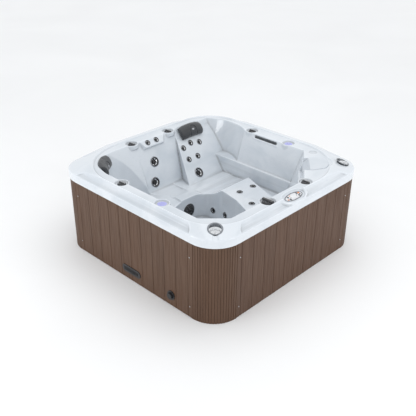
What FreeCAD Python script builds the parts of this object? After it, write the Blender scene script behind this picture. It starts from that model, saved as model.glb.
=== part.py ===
import FreeCAD, Part
import math
import os

os.makedirs("parts", exist_ok=True)

V = FreeCAD.Vector
UP = V(0, 0, 1)

# Overall size
lip_width = 2160.0
rim_height = 905.0
overrun = 20.0
running_gap = 0.3
side_count = 4
quarter_turn = 90.0
full_turn = 360.0

# Rim section, from the hem inwards
hem_bottom_drop = 142.0
hem_top_drop = 57.0
outer_corner_radius = 281.0
hem_step = 3.0
ridge_inset = 75.0
ridge_width = 12.0
step_drop = 12.0
shell_wall = 12.0
ridge_near_radius = 400.0
ridge_side_radius = 600.0
far_edge_drop = 17.0
far_fill_share = 0.44
far_fill_end_share = 0.73
far_fill_tip_share = 0.03
cove_inner_share = 0.57
cove_outer_share = 0.73
cove_mid_share = 0.64
cove_depth_shares = (0.42, 0.14)

# Basin, reaches from the centre at the band and at the seats
west_edge_inset = 187.0
east_edge_inset = 187.0
south_edge_inset = 183.0
north_edge_inset = 215.0
west_seat_inset = 415.0
east_seat_inset = 258.0
south_seat_inset = 275.0
north_seat_inset = 362.0
ledge_drop = 355.0
ledge_back_inset = 322.0
ledge_front_inset = 345.0
seat_drop = 525.0
floor_z = 110.0
left_corner_radius = 400.0
near_corner_radius = 200.0
right_corner_radius = 120.0
back_corner_radius = 130.0
near_corner_share = 1.043
corner_taper_share = 0.85
plan_radius = 110.0
floor_draft = 22.0

# Shoulder hollow above the lounger head
shoulder_radius = 472.0
shoulder_foot_radius = 385.0
shoulder_centre_shares = (-0.546, 0.440)

# Backrest panel and seats
backrest_depth = 14.0
backrest_south = 250.0
backrest_north = 330.0
dish_radius = 700.0
dish_inset = 520.0
dish_depth = 14.0
dish_south = 230.0
dish_north = 100.0
scoop_radius = 312.0
scoop_foot_inset = 650.0
scoop_top_inset = 522.0
scoop_floor_drop = 15.0
near_seat_rise = 70.0

# Lounger
back_top_inset = 200.0
back_top_drop = 55.0
back_recline_share = 0.8
back_foot_drop = 60.0
hip_inset = 755.0
hip_drop = 8.0
hip_radius = 385.0
hip_reach = 235.0
hip_south = 150.0
pad_rise = 100.0
pad_foot_depth = 90.0

# Plan outlines, as shares of half the lip width
footwell_shares = (
    (-0.300, 0.083),
    (-0.300, -0.130),
    (-0.225, -0.398),
    (0.306, -0.398),
    (0.463, -0.241),
    (0.463, 0.000),
    (0.380, 0.060),
    (0.183, 0.145),
    (-0.020, 0.190),
    (-0.235, 0.180),
)
near_seat_shares = ((0.250, -1.0), (1.0, -1.0), (1.0, -0.241), (0.250, -0.241))
pad_shares = (
    (-0.235, 0.0),
    (0.90, -0.055),
    (0.90, 0.33),
    (0.593, 0.370),
    (0.314, 0.456),
    (-0.200, 0.650),
    (-0.235, 0.625),
)
wedge_shares = ((-1.10, 0.408), (-0.361, 0.130), (-0.30, 0.16), (-0.30, 1.0), (-1.10, 1.0))
lid_shares = (
    (0.574, 0.704),
    (0.660, 0.806),
    (0.741, 0.768),
    (0.805, 0.700),
    (0.826, 0.622),
    (0.755, 0.486),
)
neck_pad_shares = (
    (-0.845, -0.205),
    (-0.815, -0.165),
    (-0.765, -0.130),
    (-0.765, 0.100),
    (-0.805, 0.135),
    (-0.845, 0.175),
)

# Filter corner: the front face lies across the right corner
front_inset = 195.0
front_top_inset = 128.0
front_angle = 36.87
front_lean = 18.0
front_lip_drop = 73.0
front_rib_count = 13
front_rib_depth = 3.0
front_rib_share = 0.5
front_rib_start_share = 0.08
lid_plate = 8.0
lid_gap = 6.0
well_depth = 141.0
well_inset = 14.0
mouth_width = 230.0
mouth_height = 74.0
mouth_reach = 60.0
canister_radius = 85.0
canister_wall = 4.0
canister_depth = 330.0
canister_x_inset = 339.0
canister_y_inset = 418.0
canister_collar = 40.0
weir_offset = 10.0
weir_share = 0.7
weir_thickness = 4.0
cartridge_radius = 70.0
cartridge_bore = 26.0
cartridge_height = 250.0
cartridge_pleats = 36
pleat_depth = 6.0
pleat_share = 0.8
cartridge_cap = 12.0

# Round fittings on the band
knob_recess_radius = 64.0
knob_recess_depth = 20.0
recess_boss_wall = 8.0
recess_boss_height = 52.0
knob_radius = 42.0
knob_height = 15.0
knob_taper = 7.0
knob_grip_width = 15.0
knob_grip_height = 9.0
knob_grip_length = 66.0
knob_bore = 8.0
knob_seat_gap = 0.3
valve_radius = 27.0
valve_length = 90.0
spindle_radius = 7.95
spindle_height = 12.0
diverter_recess_radius = 72.0
diverter_radius = 57.0
diverter_height = 20.0
diverter_lever_length = 118.0
diverter_lever_width = 26.0
diverter_lever_height = 17.0
diverter_body_radius = 29.0
diverter_body_length = 150.0
diverter_port_radius = 20.0
lens_radius = 48.0
lens_thickness = 4.0
lens_crown = 2.0
lamp_body_radius = 27.0
lamp_body_length = 54.0
blank_recess_radius = 46.0
blank_recess_depth = 8.0

# Places of the band fittings
band_inset = 162.0
west_knob_south = 261.0
west_knob_north = 256.0
south_knob_x = 271.0
south_light_x = 281.0
north_knob_x = 262.0
north_light_x = 240.0
east_knob_y = 300.0
east_diverter_y = 250.0
blank_x_inset = 514.0
blank_y_inset = 178.0

# Cup holders
cup_diagonal_share = 1.2
cup_radius = 66.0
cup_depth = 46.0
cup_base = 12.0
cup_bowl_radius = 52.0
cup_bowl_wall = 3.0
cup_flange = 4.0
cup_floor = 3.0
cup_notch_width = 50.0
cup_notch_flare = 90.0
cup_notch_depth = 7.0
cup_drain_radius = 9.0
cup_drain_length = 30.0

# Control panel
panel_pad_long = 180.0
panel_pad_short = 80.0
panel_pad_depth = 36.0
panel_pad_inset = 74.0
panel_pad_y = 6.0
panel_pad_rise = 4.0
panel_tilt = 11.0
panel_long = 118.0
panel_short = 47.0
panel_recess = 6.0
panel_sink = 13.0
panel_ledge = 26.0
panel_thickness = 22.0
panel_bezel = 7.0
panel_cut_depth = 70.0
display_length = 62.0
display_width = 34.0
display_thickness = 3.0
button_radius = 9.0
button_height = 9.0
button_travel = 1.2
button_proud = 2.5
button_spread = 62.0
button_row = 15.0
button_gap = 0.4

# Jets
big_jet_radius = 58.0
big_jet_bore = 44.0
big_jet_depth = 15.0
big_jet_lip = 6.0
small_jet_radius = 35.0
small_jet_bore = 26.0
small_jet_lip = 4.0
jet_body_length = 62.0
jet_body_wall = 3.0
jet_nozzle_share = 0.42
jet_stub_radius = 12.0
jet_rim = 9.0
jet_fin_count = 6
small_fin_count = 3
big_jet_places = ((-60.0, 250.0), (-128.0, 443.0))
back_big_place = (386.0, 450.0)
back_jet_places = ((340.0, 205.0), (466.0, 183.0), (590.0, 203.0), (340.0, 313.0), (478.0, 313.0))
pad_jet_places = ((109.0, 309.0), (120.0, 506.0), (364.0, 204.0))
riser_jet_heights = (227.0, 212.0)
riser_jet_shares = (0.7741, 0.8552)
neck_jet_y = (-92.0, 28.0)
neck_jet_inset = 224.0
neck_jet_radius = 32.0
neck_jet_drop = 27.0
neck_tilt = 45.0
neck_body_depth = 26.0
neck_elbow_radius = 8.0
neck_elbow_length = 60.0
neck_pad_depth = 34.0
neck_pad_radius = 17.0
neck_pad_edge = 10.0

# Suction cover
wall_cut_depth = 40.0
suction_body_length = 60.0
suction_radius = 80.0
suction_height = 31.0
suction_wall = 5.0
suction_slots = 18
suction_hub_radius = 15.5
suction_slot_width = 7.0
suction_y = -22.0
suction_z = 226.0
suction_pipe_radius = 25.0

# Waterfall
fall_x = -20.0
fall_length = 300.0
fall_height = 26.0
fall_depth = 46.0
fall_drop = 34.0
fall_rib_count = 22
fall_rib_width = 3.2
fall_lip = 12.0
fall_lip_height = 9.0

# Pillows
pillow_length = 335.0
pillow_height = 172.0
pillow_thickness = 78.0
pillow_end_share = 0.62
pillow_gap = 0.3
pillow_margin = 6.0
pillow_drop = 69.0
back_pillow_y = 525.0
pillow_sections = 7
bulge_share = 1.04
waist_share = 0.24
pillow_shoulder_share = 0.94
shoulder_rise_share = 0.45
brow_share = 0.60
brow_rise_share = 0.86
end_round_share = 0.8

# Cabinet
cabinet_setback = 8.0
base_gap = 4.0
plank_count = 10
plank_thickness = 14.0
seam_width = 4.0
seam_depth = 4.0
flange_width = 46.0
corner_thickness = 14.0
corner_rib_count = 17
corner_groove_width = 4.5
corner_rib_depth = 3.5
hem_gap = 0.0
screw_radius = 6.0
screw_head = 2.5
screw_shank_radius = 2.0
screw_length = 26.0
screw_inset = 24.0
screw_high_drop = 285.0
screw_low_z = 115.0

# Fittings on the south side
vent_length = 258.0
vent_height = 76.0
vent_thickness = 6.0
vent_x = -5.0
vent_z = 112.0
vent_slots = 15
vent_slot_width = 7.0
vent_rim = 9.0
vent_neck = 16.0
drain_inset = 540.0
drain_z = 117.0
drain_flange_radius = 45.0
drain_flange = 8.0
drain_cap_radius = 30.0
drain_cap_height = 20.0
drain_cap_flutes = 10
drain_flute_radius = 4.0
drain_bore = 18.0
drain_body_length = 90.0
drain_pipe_radius = 21.0
inlet_inset = 370.0
inlet_z = 90.0
inlet_radius = 26.0
inlet_bore = 14.0
inlet_length = 46.0
inlet_proud = 10.0

# Frame and base
base_thickness = 6.0
base_rim_height = 24.0
base_rim_wall = 5.0
base_setback = 6.0
post_size = 44.0
post_corner_inset = 440.0
post_inset = 8.0
rail_height = 40.0
rail_gap = 0.0
board_thickness = 30.0
board_gap = 3.0

# Blocks under the footwell
support_size = 60.0
support_shares = ((-0.180, -0.336), (0.250, -0.336), (-0.111, 0.120), (0.380, -0.120))

# Equipment under the lounger foot
pump_x_inset = 460.0
pump_y_inset = 740.0
motor_radius = 82.0
motor_length = 250.0
motor_fins = 24
motor_fin_depth = 5.0
motor_cap_length = 30.0
wet_radius = 92.0
wet_length = 88.0
wet_port_radius = 34.0
wet_port_length = 46.0
pump_foot_height = 26.0
pump_foot_width = 120.0
circ_x_inset = 180.0
circ_y_inset = 770.0
circ_spout_radius = 17.0
circ_nose_radius = 26.0
circ_nose_length = 37.5
circ_radius = 52.0
circ_length = 150.0
heater_x_inset = 180.0
heater_y_inset = 415.0
heater_z = 118.0
heater_radius = 30.0
heater_length = 380.0
heater_nut_radius = 40.0
heater_nut_length = 26.0
heater_bracket = 30.0
heater_foot_shares = (0.25, 0.75)
box_length = 330.0
box_height = 240.0
box_depth = 120.0
box_wall = 4.0
box_radius = 16.0
ozone_length = 150.0
ozone_height = 110.0
ozone_depth = 60.0
ozone_y = -420.0
ozone_z = 230.0
pipe_radius = 24.0
pipe_wall = 2.5
pipe_bend = 60.0
pipe_bend_share = 0.6
manifold_radius = 36.0
manifold_length = 300.0
manifold_inset = 280.0
manifold_south = -120.0
manifold_port_radius = 12.0
manifold_port_count = 6

# Worked out from the sizes above
lip_half = lip_width / 2
hem_bottom_z = rim_height - hem_bottom_drop
hem_top_z = rim_height - hem_top_drop
far_edge_z = rim_height - far_edge_drop
ledge_z = rim_height - ledge_drop
seat_z = rim_height - seat_drop
back_top_z = rim_height - back_top_drop
front_lip_z = rim_height - front_lip_drop
screw_high_z = rim_height - screw_high_drop
west_edge = lip_half - west_edge_inset
east_edge = lip_half - east_edge_inset
south_edge = lip_half - south_edge_inset
north_edge = lip_half - north_edge_inset
west_seat_reach = lip_half - west_seat_inset
east_seat_reach = lip_half - east_seat_inset
south_seat_reach = lip_half - south_seat_inset
north_seat_reach = lip_half - north_seat_inset
ledge_back = lip_half - ledge_back_inset
ledge_front = lip_half - ledge_front_inset
back_top_x = lip_half - back_top_inset
dish_x = lip_half - dish_inset
hip_x = lip_half - hip_inset
scoop_foot_offset = lip_half - scoop_foot_inset
scoop_top_offset = lip_half - scoop_top_inset
front_distance = lip_half - front_inset
front_top_distance = lip_half - front_top_inset
canister_x = lip_half - canister_x_inset
canister_y = lip_half - canister_y_inset
band_place = lip_half - band_inset
blank_x = lip_half - blank_x_inset
blank_y = lip_half - blank_y_inset
cup_diagonal = lip_half * cup_diagonal_share
panel_pad_x = lip_half - panel_pad_inset
neck_jet_x = lip_half - neck_jet_inset
pump_x = lip_half - pump_x_inset
pump_y = lip_half - pump_y_inset
circ_x = lip_half - circ_x_inset
circ_y = lip_half - circ_y_inset
heater_x = lip_half - heater_x_inset
heater_y = lip_half - heater_y_inset
manifold_place = lip_half - manifold_inset
drain_x = lip_half - drain_inset
inlet_x = lip_half - inlet_inset
post_offset = lip_half - post_corner_inset
cabinet_half = lip_half - cabinet_setback
cabinet_radius = outer_corner_radius - cabinet_setback
ridge_half = lip_half - ridge_inset
band_z = rim_height - step_drop
well_floor_z = band_z - well_depth
ridge_radii = (ridge_side_radius, ridge_near_radius, ridge_side_radius, ridge_near_radius)
corner_radii = (left_corner_radius, near_corner_radius, right_corner_radius, back_corner_radius)
lip_radii = (outer_corner_radius,) * side_count
back_normal = V(1, 0, back_recline_share).normalize()


def box(x_low, x_high, y_low, y_high, z_low, z_high):
    return Part.makeBox(x_high - x_low, y_high - y_low, z_high - z_low, V(x_low, y_low, z_low))


def rod(radius, length, start, direction=UP):
    return Part.makeCylinder(radius, length, start, direction)


def tube(radius, bore, length, start, direction=UP):
    back = start - direction * overrun
    return rod(radius, length, start, direction).cut(rod(bore, length + 2 * overrun, back, direction))


def join(shapes):
    first = shapes[0]
    if len(shapes) == 1:
        return first
    return first.fuse(shapes[1:]).removeSplitter()


def group(shapes):
    return Part.makeCompound(shapes)


def save(shape, name):
    solids = shape.Solids
    result = solids[0] if len(solids) == 1 else Part.makeCompound(solids)
    result.exportStep("parts/%s.step" % name)
    print("%-22s %3d solids, valid %s" % (name, len(solids), result.isValid()))


def round_wire(points, radii, z):
    count = len(points)
    corners = [V(x, y, z) for x, y in points]
    starts = []
    ends = []
    middles = []
    for index in range(count):
        here = corners[index]
        before = (corners[index - 1] - here).normalize()
        after = (corners[(index + 1) % count] - here).normalize()
        half = before.getAngle(after) / 2
        reach = radii[index] / math.tan(half)
        bisector = (before + after).normalize()
        starts.append(here + before * reach)
        ends.append(here + after * reach)
        middles.append(here + bisector * (radii[index] / math.sin(half) - radii[index]))
    edges = []
    for index in range(count):
        edges.append(Part.Arc(starts[index], middles[index], ends[index]).toShape())
        edges.append(Part.LineSegment(ends[index], starts[(index + 1) % count]).toShape())
    return Part.Wire(edges)


def ring(west, east, south, north, radii, z):
    points = ((-west, -south), (east, -south), (east, north), (-west, north))
    return round_wire(points, radii, z)


def even_ring(half, radii, z):
    return ring(half, half, half, half, radii, z)


def loft(wires):
    return Part.makeLoft(wires, True, True)


def prism(wire, height):
    return Part.Face(wire).extrude(V(0, 0, height))


def on_plan(shares):
    return [(x * lip_half, y * lip_half) for x, y in shares]


def grown(points, growth):
    count = len(points)
    result = []
    for index in range(count):
        before = V(points[index - 1][0], points[index - 1][1], 0)
        here = V(points[index][0], points[index][1], 0)
        after = V(points[(index + 1) % count][0], points[(index + 1) % count][1], 0)
        first = (here - before).normalize()
        second = (after - here).normalize()
        first_out = V(first.y, -first.x, 0)
        second_out = V(second.y, -second.x, 0)
        spread = 1 + first_out.dot(second_out)
        moved = here + (first_out + second_out) * (growth / spread)
        result.append((moved.x, moved.y))
    return result


def anticlockwise(points):
    count = len(points)
    area = 0.0
    for index in range(count):
        x, y = points[index]
        next_x, next_y = points[(index + 1) % count]
        area += x * next_y - next_x * y
    return list(points) if area > 0 else list(reversed(points))


def outline_prism(points, radius, z_low, z_high):
    wire = round_wire(points, [radius] * len(points), z_low)
    return prism(wire, z_high - z_low)


def sharp_prism(points, z_low, z_high):
    corners = [V(x, y, z_low) for x, y in points]
    wire = Part.makePolygon(corners + [corners[0]])
    return Part.Face(wire).extrude(V(0, 0, z_high - z_low))


def between(low, high, share):
    return low + (high - low) * share


def reach_at(edge, seat, z):
    return between(edge, seat, (band_z - z) / (band_z - seat_z))


def west_wall_x(z):
    sink = backrest_depth * (band_z - z) / (band_z - seat_z)
    return -reach_at(west_edge, west_seat_reach, z) - sink


def back_plane_x(z):
    return -back_top_x + back_recline_share * (back_top_z - z)


def rim_top_body():
    low = prism(even_ring(lip_half, lip_radii, hem_bottom_z), hem_top_z - hem_bottom_z)
    step_radii = [radius - hem_step for radius in lip_radii]
    foot = even_ring(lip_half - hem_step, step_radii, hem_top_z)
    crest = even_ring(ridge_half, ridge_radii, rim_height)
    body = low.fuse(loft([foot, crest]))
    body = body.fuse([far_fill(0), far_fill(1)])
    for side in range(2):
        body = body.cut(cove(side))
    pocket_radii = [radius - ridge_width for radius in ridge_radii]
    pocket = prism(even_ring(ridge_half - ridge_width, pocket_radii, band_z), overrun)
    return body.cut(pocket)


def far_fill(side):
    run = lip_half * far_fill_end_share
    full = lip_half * far_fill_share
    wires = []
    for place, size in ((-run, far_fill_tip_share), (-full, 1.0), (full, 1.0), (run, far_fill_tip_share)):
        low = hem_top_z
        corner = V(-lip_half + hem_step, place, low)
        lifted = V(-lip_half + hem_step, place, between(low, far_edge_z, size))
        inner = V(-ridge_half, place, between(low, rim_height, 1.0))
        chord_drop = (rim_height - hem_top_z) * (1 - size) / 2
        inner = V(-ridge_half - (ridge_inset - hem_step) * (1 - size) / 2, place, inner.z - chord_drop)
        wires.append(Part.makePolygon([corner, lifted, inner, corner]))
    body = loft(wires)
    if side == 1:
        body.rotate(V(0, 0, 0), UP, -quarter_turn)
    return body


def cove(side):
    outer = -lip_half + hem_step
    inner = -ridge_half
    middle_y = between(outer, inner, 1 - cove_depth_shares[0])
    middle_z = between(hem_top_z, rim_height, cove_depth_shares[1])
    start = V(0, outer, hem_top_z)
    end = V(0, inner, rim_height)
    bow = Part.Arc(start, V(0, middle_y, middle_z), end).toShape()
    top = rim_height + overrun
    far_top = V(0, outer - overrun, top)
    far_low = V(0, outer - overrun, hem_top_z)
    sides = Part.makePolygon([end, V(0, inner, top), far_top, far_low, start])
    section = Part.Face(Part.Wire([bow] + sides.Edges))
    long_half = lip_half
    section.translate(V(-long_half, 0, 0))
    bar = section.extrude(V(2 * long_half, 0, 0))
    inner_x = lip_half * cove_inner_share
    outer_x = lip_half * cove_outer_share
    middle_x = lip_half * cove_mid_share
    edge = ridge_half - ridge_width
    far = lip_half + overrun
    right = Part.Arc(V(inner_x, -edge, 0), V(middle_x, -edge - ridge_width, 0), V(outer_x, -far, 0)).toShape()
    left = Part.Arc(V(-outer_x, -far, 0), V(-middle_x, -edge - ridge_width, 0), V(-inner_x, -edge, 0)).toShape()
    foot = Part.LineSegment(V(outer_x, -far, 0), V(-outer_x, -far, 0)).toShape()
    head = Part.LineSegment(V(-inner_x, -edge, 0), V(inner_x, -edge, 0)).toShape()
    keep = prism(Part.Wire([right, foot, left, head]), rim_height + 2 * overrun)
    body = bar.common(keep)
    if side == 1:
        body.rotate(V(0, 0, 0), UP, quarter_turn)
    return body


def under_rim():
    thin_radii = [radius - shell_wall for radius in lip_radii]
    low_z = hem_bottom_z - overrun
    high_z = hem_top_z - 2 * shell_wall
    low = prism(even_ring(lip_half - shell_wall, thin_radii, low_z), high_z - low_z)
    foot = even_ring(lip_half - shell_wall, thin_radii, high_z)
    crest = even_ring(ridge_half, ridge_radii, band_z - 2 * shell_wall)
    table = prism(even_ring(ridge_half, ridge_radii, band_z - 2 * shell_wall), shell_wall)
    return low.fuse([loft([foot, crest]), table])


def basin(growth):
    def level(z, north, taper):
        radii = [radius * taper + growth for radius in corner_radii]
        west = reach_at(west_edge, west_seat_reach, z) + growth
        east = reach_at(east_edge, east_seat_reach, z) + growth
        south = reach_at(south_edge, south_seat_reach, z) + growth
        return ring(west, east, south, north + growth, radii, z)
    collar = prism(level(band_z, north_edge, 1.0), step_drop + overrun)
    upper = loft([level(band_z, north_edge, 1.0), level(ledge_z, ledge_back, corner_taper_share)])
    floor = seat_z - growth
    lower_north = reach_at(north_edge, north_seat_reach, floor)
    lower = loft([level(ledge_z, ledge_front, corner_taper_share), level(floor, lower_north, corner_taper_share)])
    if growth > 0:
        sill_radii = [radius * corner_taper_share + growth for radius in corner_radii]
        west = reach_at(west_edge, west_seat_reach, ledge_z) + growth
        east = reach_at(east_edge, east_seat_reach, ledge_z) + growth
        south = reach_at(south_edge, south_seat_reach, ledge_z) + growth
        sill = ring(west, east, south, ledge_back + growth, sill_radii, ledge_z - growth)
        lower = lower.fuse(prism(sill, growth))
    return collar.fuse([upper, lower, shoulder(growth)])


def shoulder(growth):
    x = shoulder_centre_shares[0] * lip_half
    y = shoulder_centre_shares[1] * lip_half
    height = band_z - ledge_z
    foot_z = ledge_z - growth
    cone = Part.makeCone(shoulder_foot_radius + growth, shoulder_radius + growth, height, V(x, y, ledge_z))
    body = cone.fuse(rod(shoulder_radius + growth, step_drop + overrun, V(x, y, band_z)))
    if growth > 0:
        body = body.fuse(rod(shoulder_foot_radius + growth, growth, V(x, y, foot_z)))
    west_top = west_edge + growth
    west_low = reach_at(west_edge, west_seat_reach, foot_z) + growth
    points = [
        V(-west_low, y, foot_z),
        V(-west_top, y, band_z),
        V(-west_top, y, band_z + step_drop + overrun),
        V(0, y, band_z + step_drop + overrun),
        V(0, y, foot_z),
    ]
    limit = Part.Face(Part.makePolygon(points + [points[0]])).extrude(V(0, lip_half - y, 0))
    return body.common(limit)


def footwell(growth):
    points = anticlockwise(on_plan(footwell_shares))
    top = grown(points, growth)
    bottom = grown(points, growth - floor_draft)
    radii = [plan_radius + growth] * len(points)
    low_radii = [plan_radius - floor_draft + growth] * len(points)
    return loft([round_wire(bottom, low_radii, floor_z - growth), round_wire(top, radii, ledge_z)])


def west_prism(growth, low, high, south, north):
    points = [
        V(west_wall_x(low) - growth, -south - growth, low),
        V(west_wall_x(high) - growth, -south - growth, high),
        V(0, -south - growth, high),
        V(0, -south - growth, low),
    ]
    face = Part.Face(Part.makePolygon(points + [points[0]]))
    return face.extrude(V(0, south + north + 2 * growth, 0))


def backrest(growth):
    return west_prism(growth, seat_z - growth, band_z, backrest_south, backrest_north)


def seat_dish(growth):
    start = V(-dish_x, -lip_half, seat_z - dish_depth + dish_radius)
    bar = rod(dish_radius + growth, lip_width, start, V(0, 1, 0))
    return bar.common(west_prism(growth, floor_z, seat_z, dish_south, dish_north))


def scoop(growth):
    foot = V(-scoop_foot_offset, -scoop_foot_offset, seat_z - scoop_floor_drop)
    top = V(-scoop_top_offset, -scoop_top_offset, band_z)
    axis = (top - foot).normalize()
    length = (top - foot).Length
    run = length + wall_cut_depth + 2 * scoop_radius
    bar = rod(scoop_radius + growth, run, foot - axis * scoop_radius, axis)
    floor = seat_z - scoop_floor_drop - growth
    return bar.common(box(-lip_half, lip_half, -lip_half, lip_half, floor, rim_height + overrun))


def hip(growth):
    centre = V(-hip_x, hip_south - growth, seat_z - hip_drop + hip_radius)
    bar = rod(hip_radius + growth, ledge_front - hip_south + 2 * growth - shell_wall, centre, V(0, 1, 0))
    top = ledge_z - pad_foot_depth / 2 + growth
    return bar.common(box(-hip_x - hip_reach - growth, lip_half, -lip_half, lip_half, 0, top))


def lounger_back(shrink):
    low = seat_z - back_foot_drop
    shift = shrink * math.sqrt(1 + back_recline_share * back_recline_share)
    points = [
        V(-lip_half, 0, low),
        V(back_plane_x(low) - shift, 0, low),
        V(back_plane_x(band_z) - shift, 0, band_z),
        V(-lip_half, 0, band_z),
    ]
    side = Part.Face(Part.makePolygon(points + [points[0]])).extrude(V(0, lip_half, 0))
    plan = grown(anticlockwise(on_plan(wedge_shares)), -shrink)
    return side.common(sharp_prism(plan, low, band_z))


def calf_pad(shrink):
    plan = grown(anticlockwise(on_plan(pad_shares)), -shrink)
    return sharp_prism(plan, seat_z - pad_foot_depth, seat_z + pad_rise - shrink)


def near_seat(shrink):
    plan = grown(anticlockwise(on_plan(near_seat_shares)), -shrink)
    return sharp_prism(plan, seat_z - pad_foot_depth, seat_z + near_seat_rise - shrink)


def near_corner(shrink):
    size = lip_half
    block = box(near_corner_share * lip_half + shrink, 2 * size, -size, size, floor_z, band_z)
    block.rotate(V(0, 0, 0), UP, -quarter_turn / 2)
    return block


def front_frame(distance, z):
    angle = math.radians(front_angle)
    return V(math.cos(angle) * distance, math.sin(angle) * distance, z)


def filter_corner(shrink):
    size = lip_half
    block = box(shrink, size, -size, size, -size, size)
    block.rotate(V(0, 0, 0), V(0, 1, 0), front_lean)
    block.rotate(V(0, 0, 0), UP, front_angle)
    block.translate(front_frame(front_distance, front_lip_z))
    limit = box(0, size, 0, size, floor_z, band_z)
    return block.common(limit)


def hollow(growth):
    body = basin(growth).fuse(backrest(growth))
    body = body.fuse(scoop(growth))
    blocks = [lounger_back(growth), calf_pad(growth), near_seat(growth), filter_corner(growth), near_corner(growth)]
    for solid in blocks:
        body = body.cut(solid)
    return body.fuse([footwell(growth), hip(growth), seat_dish(growth), pillow_seat(growth)])


def wall_placement(place, normal):
    side = UP.cross(normal).normalize()
    upward = normal.cross(side).normalize()
    matrix = FreeCAD.Matrix(side.x, upward.x, normal.x, place.x, side.y, upward.y, normal.y, place.y,
                            side.z, upward.z, normal.z, place.z, 0, 0, 0, 1)
    return FreeCAD.Placement(matrix)


def back_pillow_place():
    z = band_z - pillow_drop
    return V(back_plane_x(z), back_pillow_y, z)


def pillow_seat(growth):
    long_half = pillow_length / 2 + pillow_margin + growth
    high_half = pillow_height / 2 + pillow_margin + growth
    block = box(-long_half, long_half, -high_half, high_half, -growth, pillow_thickness)
    block.Placement = wall_placement(back_pillow_place(), back_normal)
    return block.common(box(-lip_half, 0, 0, lip_half, 0, band_z))


band_fittings = (
    ("knob_west_south", -band_place, -west_knob_south),
    ("knob_west_north", -band_place, west_knob_north),
    ("knob_south", -south_knob_x, -band_place),
    ("knob_north", -north_knob_x, band_place),
    ("knob_east", band_place, east_knob_y),
)
light_places = ((south_light_x, -band_place), (north_light_x, band_place))
diverter_place = (band_place, -east_diverter_y)
cup_places = (
    (cup_diagonal / math.sqrt(2), -cup_diagonal / math.sqrt(2)),
    (cup_diagonal / math.sqrt(2), cup_diagonal / math.sqrt(2)),
)


def slope_z_at(diagonal):
    near_crest = (ridge_half - ridge_near_radius) * math.sqrt(2) + ridge_near_radius
    near_edge = (lip_half - outer_corner_radius) * math.sqrt(2) + outer_corner_radius - hem_step
    share = (diagonal - near_crest) / (near_edge - near_crest)
    return between(rim_height, hem_top_z, max(share, 0))


cup_top_z = slope_z_at(cup_diagonal)


def slope_fall():
    near_crest = (ridge_half - ridge_near_radius) * math.sqrt(2) + ridge_near_radius
    near_edge = (lip_half - outer_corner_radius) * math.sqrt(2) + outer_corner_radius - hem_step
    return math.atan2(rim_height - hem_top_z, near_edge - near_crest)


def cup_disc(x, y, radius, low, high):
    outward = V(x, y, 0).normalize()
    normal = outward * math.sin(slope_fall()) + UP * math.cos(slope_fall())
    return rod(radius, high - low, V(x, y, cup_top_z) + normal * low, normal)


def knob_places():
    return [(place[1], place[2]) for place in band_fittings]


def recess_places():
    places = [(x, y, knob_recess_radius) for x, y in knob_places()]
    places += [(x, y, knob_recess_radius) for x, y in light_places]
    places.append((diverter_place[0], diverter_place[1], diverter_recess_radius))
    return places


def panel_pad():
    return tilted(oval(panel_pad_long, panel_pad_short, panel_pad_depth), panel_pad_rise - panel_pad_depth)


def oval(long_half, short_half, height):
    ellipse = Part.Ellipse(V(0, 0, 0), long_half, short_half)
    body = Part.Face(Part.Wire(ellipse.toShape())).extrude(V(0, 0, height))
    body.rotate(V(0, 0, 0), UP, quarter_turn)
    return body


def tilted(shape, rise):
    body = shape.copy()
    body.translate(V(0, 0, rise))
    body.rotate(V(0, 0, 0), V(0, 1, 0), panel_tilt)
    body.translate(V(panel_pad_x, panel_pad_y, band_z - step_drop))
    return body


def wall_jets():
    jets = []
    west_normal = V(band_z - seat_z, 0, west_wall_x(seat_z) - west_wall_x(band_z)).normalize()
    for y, drop in big_jet_places:
        z = rim_height - drop
        jets.append((V(west_wall_x(z), y, z), west_normal, big_jet_radius, big_jet_bore))
    y = back_big_place[0]
    z = rim_height - back_big_place[1]
    jets.append((V(back_plane_x(z), y, z), back_normal, big_jet_radius, big_jet_bore))
    return jets


def riser_place(outline_share, z):
    points = on_plan(footwell_shares)
    corner = int(outline_share * len(points))
    share = outline_share * len(points) - corner
    first = V(points[corner][0], points[corner][1], z)
    second = V(points[corner + 1][0], points[corner + 1][1], z)
    along = (second - first).normalize()
    inward = V(-along.y, along.x, 0)
    slope = floor_draft / (ledge_z - floor_z)
    place = first + (second - first) * share + inward * (slope * (ledge_z - z))
    return place, (inward + V(0, 0, slope)).normalize()


def small_jets():
    jets = []
    for y, drop in back_jet_places:
        z = rim_height - drop
        jets.append((V(back_plane_x(z), y, z), back_normal, small_jet_radius, small_jet_bore))
    for x, y in pad_jet_places:
        jets.append((V(x, y, seat_z + pad_rise), UP, small_jet_radius, small_jet_bore))
    for outline_share, z in zip(riser_jet_shares, riser_jet_heights):
        place, lean = riser_place(outline_share, z)
        jets.append((place, lean, small_jet_radius, small_jet_bore))
    return jets


def neck_normal():
    return V(math.sin(math.radians(neck_tilt)), 0, math.cos(math.radians(neck_tilt)))


def neck_jets():
    bore = neck_jet_radius - small_jet_lip * 2
    z = band_z - neck_jet_drop
    return [(V(-neck_jet_x, y, z), neck_normal(), neck_jet_radius, bore) for y in neck_jet_y]


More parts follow.
